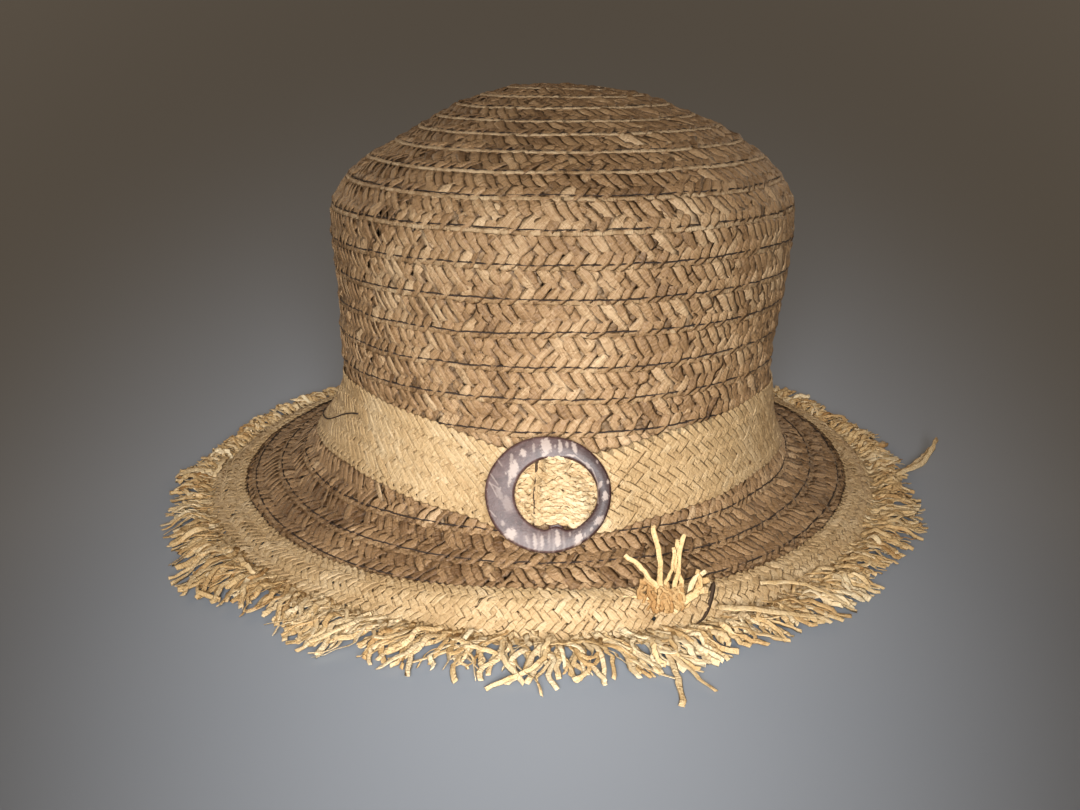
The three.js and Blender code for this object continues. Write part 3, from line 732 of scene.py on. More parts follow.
def gathers(mesh):
    """Inside the ring the weave is squeezed into wavy ridges that lie along the band: one set
    over the bar and to its right, and a lower one left of the crease."""
    r = rng(47)
    near = np.linspace(-0.30, 0.30, 601)
    for first, last, count, steps in ((-6.3, 12.9, 19, 26), (-12.6, -7.0, 16, 9)):
        v = np.linspace(0.03, 0.97, count)[:, None]
        along = np.linspace(first, last, steps)[None] + 0 * v
        v = v + 0.010 * np.sin(along / 2.1 + r.uniform(0, TAU, (count, 1))) + 0.006 * r.normal(size=along.shape)
        x = BAR_X + along + np.where(along < -6.4 + 0.2, 0.35 * r.normal(size=(count, 1)), 0.0)
        phi = np.stack([np.interp(x[i], BAND_FACE.at(near, np.full(near.shape, v[i].mean()))[0][:, 0], near) for i in range(count)])
        p, n = BAND_FACE.at(phi, v)
        beat = np.sin(TAU * along / 4.4 + math.pi * np.arange(count)[:, None] + 0.5 * r.normal(size=(count, 1)))
        lift = 0.34 + 0.20 * beat + 0.06 * r.normal(size=along.shape)
        end = first if count == 19 else last
        lift = lift - 1.6 * np.exp(-((along - end) / 0.8) ** 2)
        p = p + n * lift[..., None]
        half = 0.66 * (1 + 0.22 * beat + 0.08 * r.normal(size=along.shape))
        # painted light and shade: the ridges of the gathers get a lighter tone and the troughs a lower rank, and their
        # ends by the crease are darkened as painted shade
        strips(mesh, p, n, half, np.full(half.shape, 0.30), False, section=RIDGED,
               roll=0.14 * r.normal(size=(count, 1)) + 0.10 * beat, tone=0.25 + 0.35 * r.normal(size=(count, 1)) + 0.3 * beat,
               rank=0.15 + 0.55 * beat - 0.9 * np.exp(-((along - end) / 0.9) ** 2), crumple=0.05, seed=48)


def build_crease_shade():
    """A dark strip along the bottom of the crease inside the ring: painted shade where the fold hides it from the
    light.
    """
    near = np.linspace(-0.30, 0.30, 601)
    v = np.linspace(0.05, 0.86, 22)[None]
    along = -6.7 - 0.9 * np.exp(-((v - 0.62) / 0.2) ** 2) + 0.15 * np.sin(19 * v)
    phi = np.interp(BAR_X + along[0], BAND_FACE.at(near, np.full(near.shape, 0.5))[0][:, 0], near)[None]
    p, n = BAND_FACE.at(phi, v)
    mesh = Mesh()
    strips(mesh, p + n * 0.50, n, 0.40 + 0.16 * np.sin(9 * v), 0.35 + 0 * v, False, section=CORD)
    return mesh.build("band_crease_shade", SHADED)


def build_band():
    strands, spacing = 17, 3.9
    length = np.linalg.norm(np.diff(BAND_FACE.at(PHI, np.full(NPHI, 0.5))[0], axis=0), axis=1).sum()
    cells = strands * round(length / (strands * spacing))
    pitch = length / cells
    angle = math.atan2(28.5, strands / 2 * pitch)
    buckled = wave(44, 150, 0.16)

    def place(phi, v, h):
        p, n = BAND_FACE.at(phi, v)
        soft = buckled(phi + 1.7 * v) * np.sin(math.pi * np.clip(v, 0, 1))
        return p + n * (h + soft)[..., None], n
    mesh = Mesh()
    samples = np.concatenate([[0.0, 0.02], (np.arange(strands) + 0.5) / strands])
    plait(mesh, place, cells, strands, twill(strands, cells, 45), samples, 0.5 * pitch * math.sin(angle) * 1.16, 0.25, 0.15,
          seed=46, mess=1.0, turn_pinch=0.35, roll=0.06, section=RIDGED, crumple=0.055, tone_size=0.30)
    gathers(mesh)
    return mesh.build("band_plait", LIGHT_STRAW)


finished(build_band(), "light_straw", "hat_band")
finished(build_crease_shade(), "light_straw", "hat_band")


def build_loose_thread():
    """A brown thread end that lies loose on the band, on the wearer's right."""
    at = np.array([(-97, 0.86, 1.0), (-88, 0.80, 1.3), (-79, 0.73, 1.4), (-72, 0.60, 1.2), (-66.7, 0.49, 1.1), (-61, 0.40, 1.2), (-56.3, 0.34, 0.9)])
    line = centripetal(at[None] * [1.0, 60.0, 1.0], 7)[0] / [1.0, 60.0, 1.0]
    p, n = BAND_FACE.at(np.radians(line[:, 0]), line[:, 1])
    p = (p + n * line[:, 2:])[None]
    size = np.full(p.shape[:2], 0.30)
    mesh = Mesh()
    strips(mesh, p, n[None], size, size, False, section=CORD)
    return mesh.build("loose_thread", THREAD)


finished(build_loose_thread(), "dark_straw", "hat_band")


# ---------------------------------------------------------------- the border tape
RAGGED = 3.6  # how far the weave still holds together in the fringe
CUT_LINE = [(26.2, 122.9, 0), (24.3, 127.6, 0), (22.4, 131.6, 0), (20.6, 134.3, 0)]  # azimuth, radius


def tape_sheet(height):
    """The tape in the plane of each azimuth, height over its under face: over the brim's edge,
    down, and flat on the surface."""
    rim_r, rim_z, edge = column("rimR", PHI), column("rimZ", PHI), column("edge", PHI)
    over, past = rim_z + GAP + 0.15, rim_r + LAP + 0.9
    z = 0 * PHI
    pts = np.stack([np.stack(p, -1) for p in [
        (rim_r - 0.6, z, over + 0.15), (rim_r + LAP * 0.5, z, over - LAP_DROP * 0.4), (past, z, over - LAP_DROP * 0.9),
        ((past + edge - LAND) / 2 + 0.4, z, (over - LAP_DROP) * 0.36), (edge - LAND, z, z), (edge + RAGGED, z, z)]], 1)
    line = centripetal(pts, 12)
    arc = np.concatenate([np.zeros((NPHI, 1)), np.cumsum(np.linalg.norm(np.diff(line, axis=1), axis=-1), 1)], 1)
    line = resample(line, arc, np.linspace(0, 1, 25)[None] * arc[:, -1:])
    t = unit(np.gradient(line, axis=1))
    line = line + np.stack([-t[..., 2], 0 * t[..., 0], t[..., 0]], -1) * height
    return Sheet(brim_point(line[..., 0], line[..., 2], PHI[:, None]), 0, 1, lambda p: p * 0 + np.array([0, 0, 1.0]))


TAPE_FACE = tape_sheet(0.85)


def build_border():
    strands, spacing = 13, 3.5
    length = np.linalg.norm(np.diff(TAPE_FACE.at(PHI, np.full(NPHI, 0.5))[0], axis=0), axis=1).sum()
    cells = strands * round(length / (strands * spacing))
    pitch = length / cells
    width = 20.0
    angle = math.atan2(width, strands / 2 * pitch)
    waves = wave(51, 160, 0.14)
    inner, outer = wave(52, 40, 0.012), wave(53, 90, 0.05)

    def place(phi, v, h):
        vv = v + inner(phi) * (1 - v) + outer(phi) * v
        p, n = TAPE_FACE.at(phi, vv)
        lift = 0.25 * np.exp(-(v / 0.12) ** 2)
        return p + n * (h + waves(phi + 0.9 * v) + lift)[..., None], n
    mesh = Mesh()
    samples = np.concatenate([[0.0, 0.025], (np.arange(strands) + 0.5) / strands])
    plait(mesh, place, cells, strands, twill(strands, cells, 54, bias=-0.15, mistakes=0.15), samples,
          0.5 * pitch * math.sin(angle) * 1.16, 0.25, 0.16, seed=55, mess=1.2, turn_pinch=0.25, roll=0.07,
          section=RIDGED, crumple=0.065, tone_size=0.32, puff=0.30,
          swell=lambda v: np.cos(math.pi * (strands * v - 1.5) / 2) ** 2)
    return mesh.build("border_plait", LIGHT_STRAW)


finished(build_border(), "light_straw", "brim_border")


def build_border_seam():
    """The thread that sews the border down, just inside its inner edge; its dark line also stands in for the shade
    under the tape's edge, as painted shade.
    """
    n = 620
    phi = np.arange(n) / n * TAU
    r = rng(57)
    rim_r, rim_z = column("rimR", phi), column("rimZ", phi)
    rad = rim_r - 1.55 + 0.12 * r.normal(size=n) - 20.0 * wave(52, 40, 0.012)(phi) * -0.8
    z = rim_z + 0.80 + 0.30 * np.sin(TAU * np.arange(n) / 5.0) + 0.05 * r.normal(size=n)
    p = brim_point(rad, z, phi)[None]
    up = np.zeros_like(p) + np.array([0, 0, 1.0])
    size = np.full(p.shape[:2], 0.26)
    mesh = Mesh()
    strips(mesh, p, up, size, size, True, section=CORD)
    return mesh.build("border_seam", THREAD)


finished(build_border_seam(), "light_straw", "brim_border")


# ---------------------------------------------------------------- the fringe
def polar(az, r, z):
    return np.stack([r * np.sin(az) + BRIM_SHIFT, -r * np.cos(az), z], -1)


def tape_height(r, phi):
    """Height of the tape's top at radius r, falling to the surface outside it."""
    rim, edge = column("rimR", phi), column("edge", phi)
    top = column("rimZ", phi) + 1.9
    return 1.3 + (top - 1.3) * (1 - smoothstep(r, rim + 2.0, edge - 2.0))


def fringe_reach(phi):
    a = (phi + math.pi) % TAU - math.pi
    return column("fringe", phi) + 1.8 * np.sin(11 * phi + 0.4) + 1.2 * np.sin(5 * phi + 1.9) \
        + 6.5 * np.exp(-((a + 1.08) / 0.24) ** 2)


SWEEP = wave(60, 5, 0.10)


def build_fringe():
    r = rng(61)
    steps = 13
    t = np.linspace(0, 1, steps)
    lines, halves, rolls, tones = [], [], [], []

    def add(az, rad, z, half, twist=0.3, tone=None, taper=0.2, pale=0.0):
        p = polar(az, rad, np.maximum(z, 0.35))
        lines.append(p)
        halves.append(half * (1 - taper * t ** 3) * (1 + 0.08 * r.normal(size=steps)))
        rolls.append(twist * r.normal() + twist * r.normal() * t * 2)
        tones.append(np.full(steps, 0.2 + pale + 0.65 * r.normal() if tone is None else tone) + 0.25 * r.normal(size=steps))

    # every strip leaves the weave along one of its two diagonals and then bends outwards
    count = 900
    drift, arch_of = wave(63, 40, 0.14), wave(64, 60, 0.6)
    for i in range(count):
        az0 = (i + 0.5 * r.normal()) / count * TAU
        edge = float(column("edge", az0))
        reach = float(fringe_reach(az0)) - edge
        a = (az0 + math.pi) % TAU - math.pi
        lean = 0.5 * float(SWEEP(az0)) + float(drift(az0)) + 0.15 - 0.12 * math.sin(a) \
            - 0.50 * math.exp(-((a + 0.36) / 0.34) ** 2) + 0.16 * math.exp(-((a - 0.62) / 0.35) ** 2)
        way = 1 if r.random() < 0.5 + 0.38 * math.tanh(3 * lean) else -1
        start = edge + r.uniform(-4.5, 2.6)
        far = float(np.clip(0.88 + 0.16 * r.normal(), 0.4, 1.12))
        end = edge + reach * far
        rad = start + (end - start) * (t + 0.06 * np.sin(math.pi * t) * r.normal())
        slope = way * r.uniform(0.12, 0.62)
        curl = r.normal() * 0.13
        side = (slope * (t - 0.50 * t ** 2) + lean * t + curl * t ** 2 + 0.05 * np.sin(TAU * (t * r.uniform(0.8, 1.7) + r.random()))) * (end - start)
        az = az0 + side / (edge + 8)
        arch = 0.5 + abs(r.normal()) * 1.3 + max(0.0, float(arch_of(az0)))
        z = tape_height(rad, az) + 0.25 + arch * np.sin(math.pi * np.clip(t * 1.08, 0, 1)) ** 1.3 * smoothstep(t, 0.0, 0.4) \
            + r.uniform(-0.3, 1.1) * t ** 2 + 0.12 * r.normal(size=steps)
        # pale gives the strips at the front a lighter tone: a painted highlight where the key light falls strongest
        add(az, rad, z, r.uniform(0.75, 1.3), twist=0.32, taper=0.15, pale=0.7 * math.exp(-(a / 0.7) ** 2))
    # loops that turn back, and strips that lie across the others
    for i in range(34):
        az0 = r.uniform(0, TAU)
        edge = float(column("edge", az0))
        reach = float(fringe_reach(az0)) - edge
        q = math.pi * (0.08 + 0.86 * t)
        rad = edge - 2 + (reach * r.uniform(0.5, 0.85) + 3) * np.sin(q)
        wide = r.uniform(4, 11) * (1 if r.random() < 0.5 else -1)
        az = az0 + (wide * (0.5 - 0.5 * np.cos(q)) + 0.4 * r.normal()) / edge
        z = tape_height(rad, az) + 0.8 + r.uniform(0.8, 3.2) * np.sin(q)
        add(az, rad, z, r.uniform(0.7, 1.15), taper=0.1)
    for i in range(14):
        az0 = r.uniform(0, TAU)
        edge = float(column("edge", az0))
        run = r.uniform(12, 26) * (1 if r.random() < 0.5 else -1)
        rad = edge + r.uniform(-3, 6) + 4.0 * np.sin(math.pi * t) * r.normal() + 8 * t * r.random()
        az = az0 + run * t / edge
        z = tape_height(rad, az) + 1.3 + r.uniform(0.5, 2.6) * np.sin(math.pi * t)
        add(az, rad, z, r.uniform(0.7, 1.3))
    # the strips that stand out singly: (azimuth in degrees, radius, height) along each
    singles = [
        ([(13.2, 146, 3.4), (13.7, 156, 3.0), (13.2, 167, 1.8), (12.4, 180.5, 0.7)], 1.15),
        ([(13.6, 148, 4.2), (14.4, 158, 3.6), (15.4, 167, 2.2), (16.4, 175, 0.8)], 1.0),
        ([(91, 142, 3.4), (92.2, 147, 4.2), (94.4, 155.5, 5.4), (98.6, 165.2, 10.6)], 1.35),
        ([(92, 144, 3.0), (94, 150, 3.8), (97, 157, 4.2), (99, 163, 6.0)], 1.0),
        ([(33, 129, 8.5), (36.5, 136, 9.5), (39.5, 144, 7.0), (42, 152, 2.0)], 1.2),
        ([(24, 133, 6.5), (28, 142, 7.0), (33, 149, 5.0), (37, 152, 2.2)], 1.35),
        ([(-52, 141, 2.6), (-53, 156, 3.5), (-50.5, 164, 3.2), (-47.5, 160, 2.0)], 1.1),
        ([(-14, 143, 4.2), (-11.5, 147, 4.6), (-9, 149, 4.0), (-7, 150, 3.0)], 1.2),
        ([(-6, 144, 4.6), (-4.5, 158, 3.6), (-2.2, 165, 2.8), (-1.6, 171, 1.2)], 1.0),
        ([(-1, 145, 4.4), (-2.6, 158, 4.0), (-5.6, 165, 2.6), (-7.6, 169, 1.2)], 1.0),
        ([(-93, 146, 3.0), (-92.5, 153, 3.6), (-92, 158, 2.6), (-91.5, 161, 1.4)], 1.5),
    ]
    for pts, half in singles:
        p = np.array(pts)[None]
        line = centripetal(p, 8)[0]
        d = np.concatenate([[0], np.cumsum(np.linalg.norm(np.diff(line * [2.5, 1, 1], axis=0), axis=1))])
        q = np.stack([np.interp(t * d[-1], d, line[:, k]) for k in range(3)], -1)
        add(np.radians(q[:, 0]), q[:, 1], q[:, 2], half, twist=0.22, tone=0.5)
    p = np.stack(lines)
    # a strip's path wanders a little on the small scale as well
    p = p + 0.27 * r.normal(size=p.shape) * np.array([1, 1, 0.45])
    half = np.stack(halves)
    normal = unit(np.zeros_like(p) + np.array([0, 0, 1.0]) + 0.12 * r.normal(size=(len(p), 1, 3)))
    mesh = Mesh()
    # the rank falls with height, so the low strips lying under the others get painted shade
    strips(mesh, p, normal, half, np.full(half.shape, 0.22), False, section=THIN, roll=np.stack(rolls),
           tone=np.stack(tones), rank=np.clip(0.40 + 0.12 * (p[..., 2] - 2.0), 0.1, 0.8), crumple=0.07, seed=62)
    return mesh.build("fringe_strands", FRAYED)


finished(build_fringe(), "frayed_straw", "fringe")


# ---------------------------------------------------------------- the frayed end of the tape
def build_tuft():
    r = rng(71)
    steps = 14
    t = np.linspace(0, 1, steps)
    base = np.array([34.5, -121.5, 10.5])
    rows = [  # where each strip goes: points from the tape upwards, and half its width
        ([(36, -124, 7), (33.5, -122, 13), (28, -120.5, 19), (21.5, -118.5, 24.2)], 1.0),
        ([(35, -124, 8), (34, -121.5, 15), (32.8, -118.5, 24), (31.4, -114, 33.5)], 1.05),
        ([(37, -124, 8), (35.8, -121.5, 15), (37.8, -119.5, 21), (38.4, -117.5, 26.5)], 0.8),
        ([(41, -123.5, 7), (40.5, -121, 15), (39, -118.5, 22), (39.2, -116, 28.4)], 0.95),
        ([(39, -124, 8), (38.4, -121.5, 14.5), (39.8, -118.5, 22.5), (41.8, -115.5, 30.5)], 0.9),
        ([(36, -124, 7), (34, -122.5, 11.5), (31, -121, 14.5), (28, -119.5, 16)], 1.2),
        ([(33, -124, 7), (28, -123, 10), (23.5, -122.5, 10.2), (19, -123, 9.2)], 0.8),
        ([(40, -123.5, 6.5), (43.5, -121, 12), (46.5, -119, 16), (49.2, -118, 17.6)], 1.1),
        ([(41, -123.5, 6.5), (44.5, -121.5, 11.5), (47.5, -119.5, 14), (50.5, -118.5, 15)], 1.2),
        ([(42, -123, 6.5), (45, -121.5, 11), (47, -120, 15), (46.5, -118.5, 18.5)], 0.9),
        ([(38, -124.5, 6), (42, -123.5, 10), (46, -122, 12), (50, -120.5, 12)], 1.4),
    ]
    lines, halves = [], []
    for pts, half in rows:
        line = centripetal(np.array(pts, float)[None], 6)[0]
        d = np.concatenate([[0], np.cumsum(np.linalg.norm(np.diff(line, axis=0), axis=1))])
        lines.append(np.stack([np.interp(t * d[-1], d, line[:, k]) for k in range(3)], -1))
        halves.append(1.12 * half * (1 - 0.10 * t))
    # the crumpled base that they come out of
    for i in range(46):
        a = r.uniform(-1, 1)
        foot = base + np.array([7 * a, -2.5 + r.normal(), -4 + 0.5 * r.normal()])
        tip = base + np.array([5.5 * a + 2.5 * r.normal(), 1.0 + 1.5 * r.normal(), 2.2 + 2.6 * r.random()])
        mid = (foot + tip) / 2 + np.array([1.2 * r.normal(), -1.6, 0.8])
        lines.append((1 - t)[:, None] ** 2 * foot + 2 * (t * (1 - t))[:, None] * mid + (t ** 2)[:, None] * tip)
        halves.append(np.full(steps, r.uniform(0.6, 1.15)))
    sway = r.uniform(0, TAU, (len(lines), 1)) + TAU * 1.3 * t[None]
    p = np.stack(lines) + 0.19 * r.normal(size=(len(lines), steps, 3))
    p[..., 0] += 0.75 * np.sin(sway) * np.sin(math.pi * t)
    half = np.stack(halves)
    normal = unit(np.zeros_like(p) + np.array([0, -1.0, 0.35]) + 0.2 * r.normal(size=(len(p), 1, 3)))
    roll = 0.25 * r.normal(size=(len(p), 1)) + 0.25 * r.normal(size=(len(p), 1)) * t
    mesh = Mesh()
    # the crumpled base strips get a darker tone and a lower rank than the strips above them: painted shade
    strips(mesh, p, normal, half, np.full(half.shape, 0.28), False, section=THIN, roll=roll,
           tone=np.where(np.arange(len(p)) < len(rows), 0.1, -1.1)[:, None] + 0.5 * r.normal(size=(len(p), 1)) + 0 * half,
           rank=np.where(np.arange(len(p)) < len(rows), 0.15, -0.25)[:, None] + 0 * half, crumple=0.08, seed=72)
    return mesh.build("tuft_strands", FRAYED)


finished(build_tuft(), "frayed_straw", "fringe_tuft")


def build_tape_cut():
    """A dark strip in the open side of the tape's end, beside the tuft: painted shadow in the narrow slit."""
    line = centripetal(np.array([CUT_LINE]), 5)[0]
    az = np.radians(line[:, 0])
    p = polar(az, line[:, 1], tape_height(line[:, 1], az) + 0.75)[None]
    t = np.linspace(0, 1, p.shape[1])[None]
    size = 0.25 + 0.95 * np.sin(math.pi * t ** 0.6) ** 0.9 * (1 - 0.6 * t)
    up = np.zeros_like(p) + np.array([0, -0.35, 1.0])
    mesh = Mesh()
    strips(mesh, p, unit(up), size, 0.4 + 0 * size, False, section=CORD)
    return mesh.build("tape_cut_shadow", SHADED)


finished(build_tape_cut(), "light_straw", "brim_border")


# ---------------------------------------------------------------- the coconut-shell ring
# light marks in the shell: aside, up, half width, half height in mm, turn in degrees, strength
FLECKS = [
    (-0.7, 16.6, 1.9, 2.7, 8, 1.0), (-1.3, 13.6, 0.8, 0.9, 0, 0.9), (4.2, 16.3, 0.75, 2.3, 4, 0.85), (2.4, 16.4, 0.4, 0.6, 0, 0.6),
    (6.6, 17.1, 0.5, 1.1, 0, 0.8), (9.2, 16.0, 0.9, 2.0, 14, 1.0), (-4.9, 16.0, 0.5, 1.7, 0, 0.6), (-8.6, 14.2, 1.25, 1.3, 0, 1.0),
    (-11.9, 8.4, 1.6, 3.2, -10, 1.0), (-13.2, 4.6, 0.5, 2.0, -8, 0.8), (-12.6, 12.4, 0.6, 1.6, 0, 0.6), (-12.8, -13.8, 2.0, 2.0, 0, 1.0),
    (10.4, -15.7, 1.25, 2.5, -12, 1.0), (3.4, -15.4, 0.95, 2.9, 3, 0.9), (-4.4, -16.4, 0.7, 2.7, 6, 0.8), (-2.0, -16.4, 0.6, 2.7, 0, 0.8),
    (-7.2, -15.6, 0.4, 1.7, 12, 0.6), (0.4, -15.0, 0.4, 2.2, 0, 0.45), (19.7, -0.7, 1.0, 1.7, -8, 0.9), (18.0, 3.1, 0.6, 1.6, -20, 0.8),
    (17.5, -9.1, 1.2, 1.9, -38, 0.8), (20.7, 4.2, 0.45, 0.8, 0, 1.0), (13.8, 9.8, 0.6, 1.2, 35, 0.7), (15.0, -12.0, 0.5, 0.9, -30, 0.6),
    (17.0, 11.0, 0.35, 0.6, 0, 0.6), (-15.4, -10.2, 0.6, 1.2, 20, 0.6), (-16.6, 0.0, 1.0, 2.2, 25, 0.35), (-13.8, -3.4, 1.4, 3.0, 20, 0.35),
    (7.6, -13.8, 0.4, 0.7, 0, 0.6), (12.7, -14.2, 0.5, 0.8, 0, 0.6), (8.0, 13.3, 1.7, 0.35, -8, 0.9), (-14.5, 7.0, 0.35, 0.5, 0, 0.7),
]
# scratches: from, to (aside, up)
SCRATCHES = [((-19.8, 7.0), (-17.2, 3.2)), ((-20.2, 4.3), (-17.4, -0.9)), ((-17.2, 11.6), (-15.8, 9.6)), ((-20.3, 3.9), (-16.4, 1.6)),
             ((-20.0, -5.6), (-17.9, -7.9)), ((-16.4, 2.3), (-16.8, 0.9)), ((8.8, 13.6), (15.2, 8.8)), ((15.2, 8.8), (17.2, 3.8)), ((17.2, 3.8), (17.2, -3.2))]


def shell_marks(x, y):
    """How much light fleck there is at a place on the ring's face."""
    wob = 0.14 * np.sin(3.1 * x + 1.3 * y) + 0.11 * np.sin(4.7 * y - 2.2 * x + 1.0) + 0.10 * np.sin(7.9 * x + 6.1 * y)
    m = np.zeros_like(x)
    for fx, fy, a, b, turn, power in FLECKS:
        q = math.radians(turn)
        u = ((x - fx) * math.cos(q) + (y - fy) * math.sin(q)) / a
        w = (-(x - fx) * math.sin(q) + (y - fy) * math.cos(q)) / b
        d = np.sqrt(u * u + w * w) + wob
        m = np.maximum(m, power * (1 - smoothstep(d, 0.8, 1.15)))
    for (ax, ay), (bx, by) in SCRATCHES:
        dx, dy = bx - ax, by - ay
        s = np.clip(((x - ax) * dx + (y - ay) * dy) / (dx * dx + dy * dy), 0, 1)
        d = np.hypot(x - ax - s * dx, y - ay - s * dy)
        m = np.maximum(m, 0.6 * (1 - smoothstep(d, 0.10, 0.28)))
    # long pale streaks that run down the lower part
    streak = np.clip(np.sin(2.6 * x + 0.5 * np.sin(0.8 * y)) * np.sin(1.1 * x + 2.0), 0, 1) * smoothstep(-y, 11.0, 16.0)
    return np.maximum(m, 0.35 * streak)


def shell_material():
    mat = bpy.data.materials.new("coconut_shell")
    mat.use_nodes = True
    nt = mat.node_tree
    b = nt.nodes["Principled BSDF"]
    add, link = nt.nodes.new, nt.links.new
    mark = add("ShaderNodeAttribute"); mark.attribute_name = "mark"
    flat = add("ShaderNodeAttribute"); flat.attribute_name = "place"
    blotch = add("ShaderNodeTexNoise"); blotch.inputs["Scale"].default_value = 0.35
    blotch.inputs["Detail"].default_value = 4.0; blotch.inputs["Distortion"].default_value = 0.8
    link(flat.outputs["Vector"], blotch.inputs["Vector"])
    ramp = add("ShaderNodeValToRGB")
    e = ramp.color_ramp.elements
    e[0].position, e[0].color = 0.30, (0.034, 0.014, 0.011, 1)
    e[1].position, e[1].color = 0.72, (0.088, 0.050, 0.044, 1)
    e.new(0.5).color = (0.060, 0.030, 0.026, 1)
    link(blotch.outputs["Fac"], ramp.inputs["Fac"])
    grain = add("ShaderNodeTexNoise"); grain.inputs["Scale"].default_value = 1.6
    grain.inputs["Detail"].default_value = 6.0
    link(flat.outputs["Vector"], grain.inputs["Vector"])
    speck = add("ShaderNodeMapRange")
    speck.inputs["From Min"].default_value, speck.inputs["From Max"].default_value = 0.62, 0.72
    speck.inputs["To Max"].default_value = 0.35
    link(grain.outputs["Fac"], speck.inputs["Value"])
    most = add("ShaderNodeMath"); most.operation = "MAXIMUM"
    link(mark.outputs["Fac"], most.inputs[0]); link(speck.outputs["Result"], most.inputs[1])
    mix = add("ShaderNodeMix"); mix.data_type = "RGBA"
    link(most.outputs[0], mix.inputs[0])
    # the shell's colour darkens towards the ring's right side, as seen from the front
    where = add("ShaderNodeSeparateXYZ")
    link(flat.outputs["Vector"], where.inputs[0])
    right_side_darkening = add("ShaderNodeMapRange")
    right_side_darkening.inputs["From Min"].default_value, right_side_darkening.inputs["From Max"].default_value = 0.0, 19.0
    right_side_darkening.inputs["To Max"].default_value = 0.80
    link(where.outputs["X"], right_side_darkening.inputs["Value"])
    darker = add("ShaderNodeMix"); darker.data_type = "RGBA"
    link(right_side_darkening.outputs["Result"], darker.inputs[0])
    link(ramp.outputs["Color"], darker.inputs[6])
    darker.inputs[7].default_value = (0.020, 0.007, 0.006, 1)
    link(darker.outputs[2], mix.inputs[6])
    mix.inputs[7].default_value = (0.27, 0.205, 0.170, 1)
    link(mix.outputs[2], b.inputs["Base Color"])
    rough = add("ShaderNodeMath"); rough.operation = "MULTIPLY_ADD"
    link(grain.outputs["Fac"], rough.inputs[0]); rough.inputs[1].default_value = 0.22; rough.inputs[2].default_value = 0.33
    link(rough.outputs[0], b.inputs["Roughness"])
    bump = add("ShaderNodeBump"); bump.inputs["Strength"].default_value = 0.22; bump.inputs["Distance"].default_value = 0.0003
    link(grain.outputs["Fac"], bump.inputs["Height"])
    link(bump.outputs[0], b.inputs["Normal"])
    b.inputs["Specular IOR Level"].default_value = 0.24
    b.inputs["Coat Weight"].default_value = 0.04
    b.inputs["Coat Roughness"].default_value = 0.22
    return mat


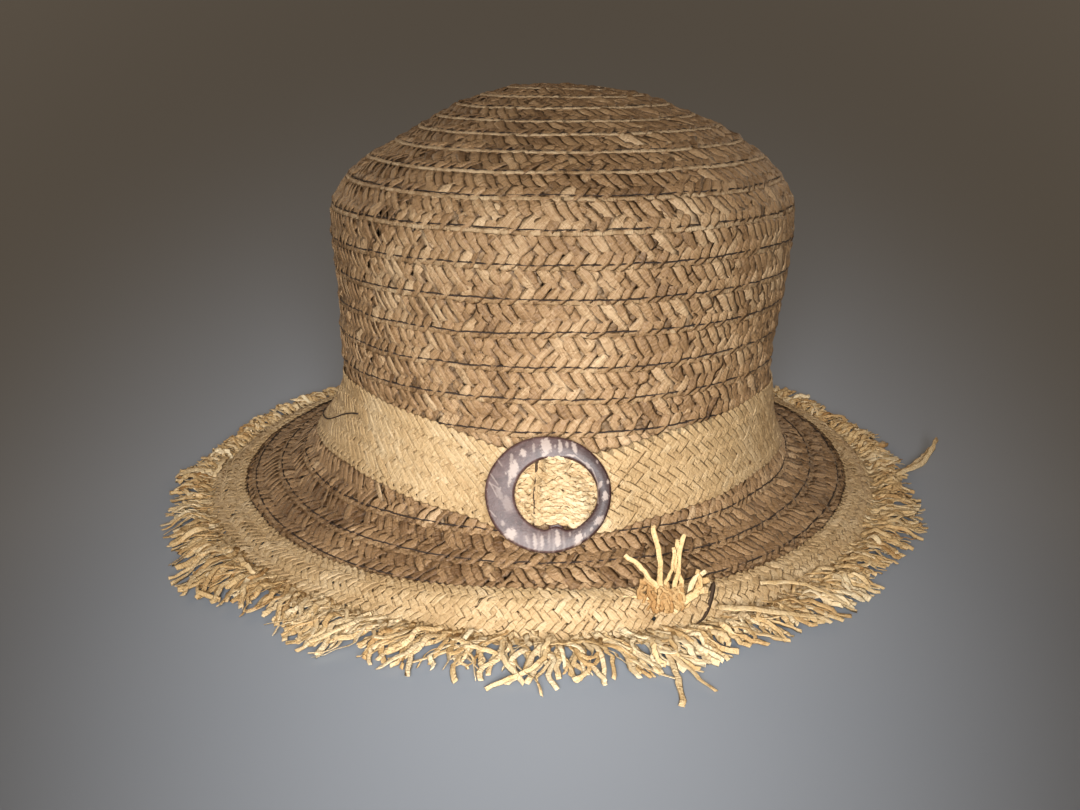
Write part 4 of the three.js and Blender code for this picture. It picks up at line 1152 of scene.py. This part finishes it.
def build_ring():
    turns = 320
    a = np.arange(turns) / turns * TAU
    ca, sa = np.cos(a), np.sin(a)
    outer = np.stack([BUCKLE["width"] / 2 * ca, BUCKLE["height"] / 2 * sa], -1)
    outer = outer * (1 + 0.004 * np.sin(3 * a + 1) + 0.003 * np.sin(7 * a))[:, None]
    inner = np.stack([BUCKLE["hole_w"] / 2 * ca + BUCKLE["aside"], BUCKLE["hole_h"] / 2 * sa], -1)
    # the bar's roots, a broad one below and a slight one above
    lug = np.exp(-((inner[:, 0] - BUCKLE["aside"]) / 2.6) ** 2)
    inner[:, 1] += np.where(sa < 0, 1.9, -0.8) * lug
    half = BUCKLE["thick"] / 2
    bevel = 0.9
    prof = []  # (kind, how far in from the edge in mm or as a share, height)
    for q in np.linspace(0, math.pi / 2, 4):
        prof.append(("outer", bevel * (1 - math.sin(q)), -half + bevel * (1 - math.cos(q))))
    for q in np.linspace(0, math.pi / 2, 6)[0:]:
        prof.append(("outer", bevel * (1 - math.cos(q)), half - bevel * (1 - math.sin(q))))
    for s in np.linspace(0, 1, 24)[1:-1]:
        prof.append(("face", s, half + 0.16 * math.sin(math.pi * s)))
    for q in np.linspace(math.pi / 2, 0, 6):
        prof.append(("inner", bevel * (1 - math.cos(q)), half - bevel * (1 - math.sin(q))))
    for q in np.linspace(math.pi / 2, 0, 4):
        prof.append(("inner", bevel * (1 - math.sin(q)), -half + bevel * (1 - math.cos(q))))
    for s in np.linspace(1, 0, 8)[1:-1]:
        prof.append(("face", s, -half))
    across = unit(inner - outer)
    o1, i1 = outer + across * bevel, inner - across * bevel
    pts = []
    for kind, s, z in prof:
        if kind == "outer":
            xy = outer + across * s
        elif kind == "inner":
            xy = inner - across * s
        else:
            xy = o1 * (1 - s) + i1 * s
        pts.append(np.concatenate([xy, np.full((turns, 1), z)], 1))
    local = np.stack(pts, 1)  # turns, rows, 3
    k = local.shape[1]
    i = np.arange(turns)[:, None]
    j = np.arange(k)[None]
    quads = np.stack([i * k + j, ((i + 1) % turns) * k + j, ((i + 1) % turns) * k + (j + 1) % k, i * k + (j + 1) % k], -1)
    at = RING_AT + local[..., :1] * RING_RIGHT + local[..., 1:2] * RING_UP + local[..., 2:] * RING_OUT
    mesh = Mesh()
    mark = shell_marks(local[..., 0], local[..., 1]) * (local[..., 2] > 0.0)
    mesh.add(at, quads, mark=mark, place=local)
    # the bar, a flat rounded stick behind the band
    rows, around = 14, 12
    yy = np.linspace(-BUCKLE["hole_h"] / 2 - 0.9, BUCKLE["hole_h"] / 2 + 0.9, rows)
    q = np.arange(around) / around * TAU
    sx = np.sign(np.cos(q)) * np.abs(np.cos(q)) ** 0.5 * BUCKLE["bar_w"] / 2
    sz = np.sign(np.sin(q)) * np.abs(np.sin(q)) ** 0.5 * BUCKLE["bar_t"] / 2
    bar = np.stack([np.broadcast_to(BUCKLE["aside"] + sx[None], (rows, around)), np.broadcast_to(yy[:, None], (rows, around)),
                    np.broadcast_to(-half + BUCKLE["bar_t"] / 2 + 0.05 + sz[None], (rows, around))], -1)
    i = np.arange(rows - 1)[:, None]
    j = np.arange(around)[None]
    quads = np.stack([i * around + j, i * around + (j + 1) % around, (i + 1) * around + (j + 1) % around, (i + 1) * around + j], -1).reshape(-1, 4)
    fans = np.arange(1, around - 1)
    e = (rows - 1) * around
    caps = [np.stack([0 * fans, fans + 1, fans, fans], -1), np.stack([e + 0 * fans, e + fans, e + fans + 1, e + fans + 1], -1)]
    at = RING_AT + bar[..., :1] * RING_RIGHT + bar[..., 1:2] * RING_UP + bar[..., 2:] * RING_OUT
    mesh.add(at, np.concatenate([quads] + caps), mark=np.zeros((rows, around)), place=bar)
    return mesh.build("buckle_ring", shell_material())


finished(build_ring(), "coconut_shell", "buckle")


# ---------------------------------------------------------------- floor, light, camera
def floor():
    m = bpy.data.meshes.new("floor")
    v = [(x, y, 0.0) for x, y in ((-9, -9), (9, -9), (9, 9), (-9, 9))]
    f = [(0, 1, 2, 3)]
    m.from_pydata(v, [], f)
    o = bpy.data.objects.new("floor", m)
    bpy.context.scene.collection.objects.link(o)
    mat = bpy.data.materials.new("floor")
    mat.use_nodes = True
    b = mat.node_tree.nodes["Principled BSDF"]
    b.inputs["Base Color"].default_value = (0.300, 0.332, 0.378, 1)
    b.inputs["Roughness"].default_value = 0.85
    m.materials.append(mat)


floor()

world = bpy.data.worlds.new("studio")
bpy.context.scene.world = world
world.use_nodes = True
world.node_tree.nodes["Background"].inputs[0].default_value = (1.0, 0.76, 0.53, 1)
world.node_tree.nodes["Background"].inputs[1].default_value = 0.11


def far_light(name, turn, rise, strength, colour):
    """A wide soft light from far away: turn in degrees from the front, rise above the floor."""
    l = bpy.data.lights.new(name, "SUN")
    l.energy, l.angle, l.color = strength, math.radians(28), colour
    o = bpy.data.objects.new(name, l)
    bpy.context.scene.collection.objects.link(o)
    a, e = math.radians(turn), math.radians(rise)
    at = Vector((math.sin(a) * math.cos(e), -math.cos(a) * math.cos(e), math.sin(e)))
    o.rotation_euler = at.to_track_quat("Z", "Y").to_euler()


spot = bpy.data.lights.new("key", "SPOT")
spot.energy, spot.spot_size, spot.spot_blend, spot.shadow_soft_size = 38.0, math.radians(38), 1.0, 0.12
key = bpy.data.objects.new("key", spot)
bpy.context.scene.collection.objects.link(key)
key.location = (0.005, -0.60, 0.240)
key.rotation_euler = (Vector((-0.004, -0.105, 0.045)) - key.location).to_track_quat("-Z", "Y").to_euler()
far_light("back left", -140, 15, 0.58, (1.0, 0.74, 0.49))
far_light("back right", 140, 15, 0.58, (1.0, 0.74, 0.49))

cam = bpy.data.cameras.new("camera")
cam.lens, cam.sensor_width, cam.sensor_fit = 50.0, 36.0, "HORIZONTAL"
cam.shift_x = -20.7 / 1080
cam.clip_start = 0.01
co = bpy.data.objects.new("camera", cam)
bpy.context.scene.collection.objects.link(co)
co.location = (np.array([0.0, -577.64, 244.217]) + HAT_AT) * MM
co.rotation_euler = (math.radians(90 - 19.9), 0, 0)
bpy.context.scene.camera = co
bpy.context.scene.view_settings.view_transform = "Standard"
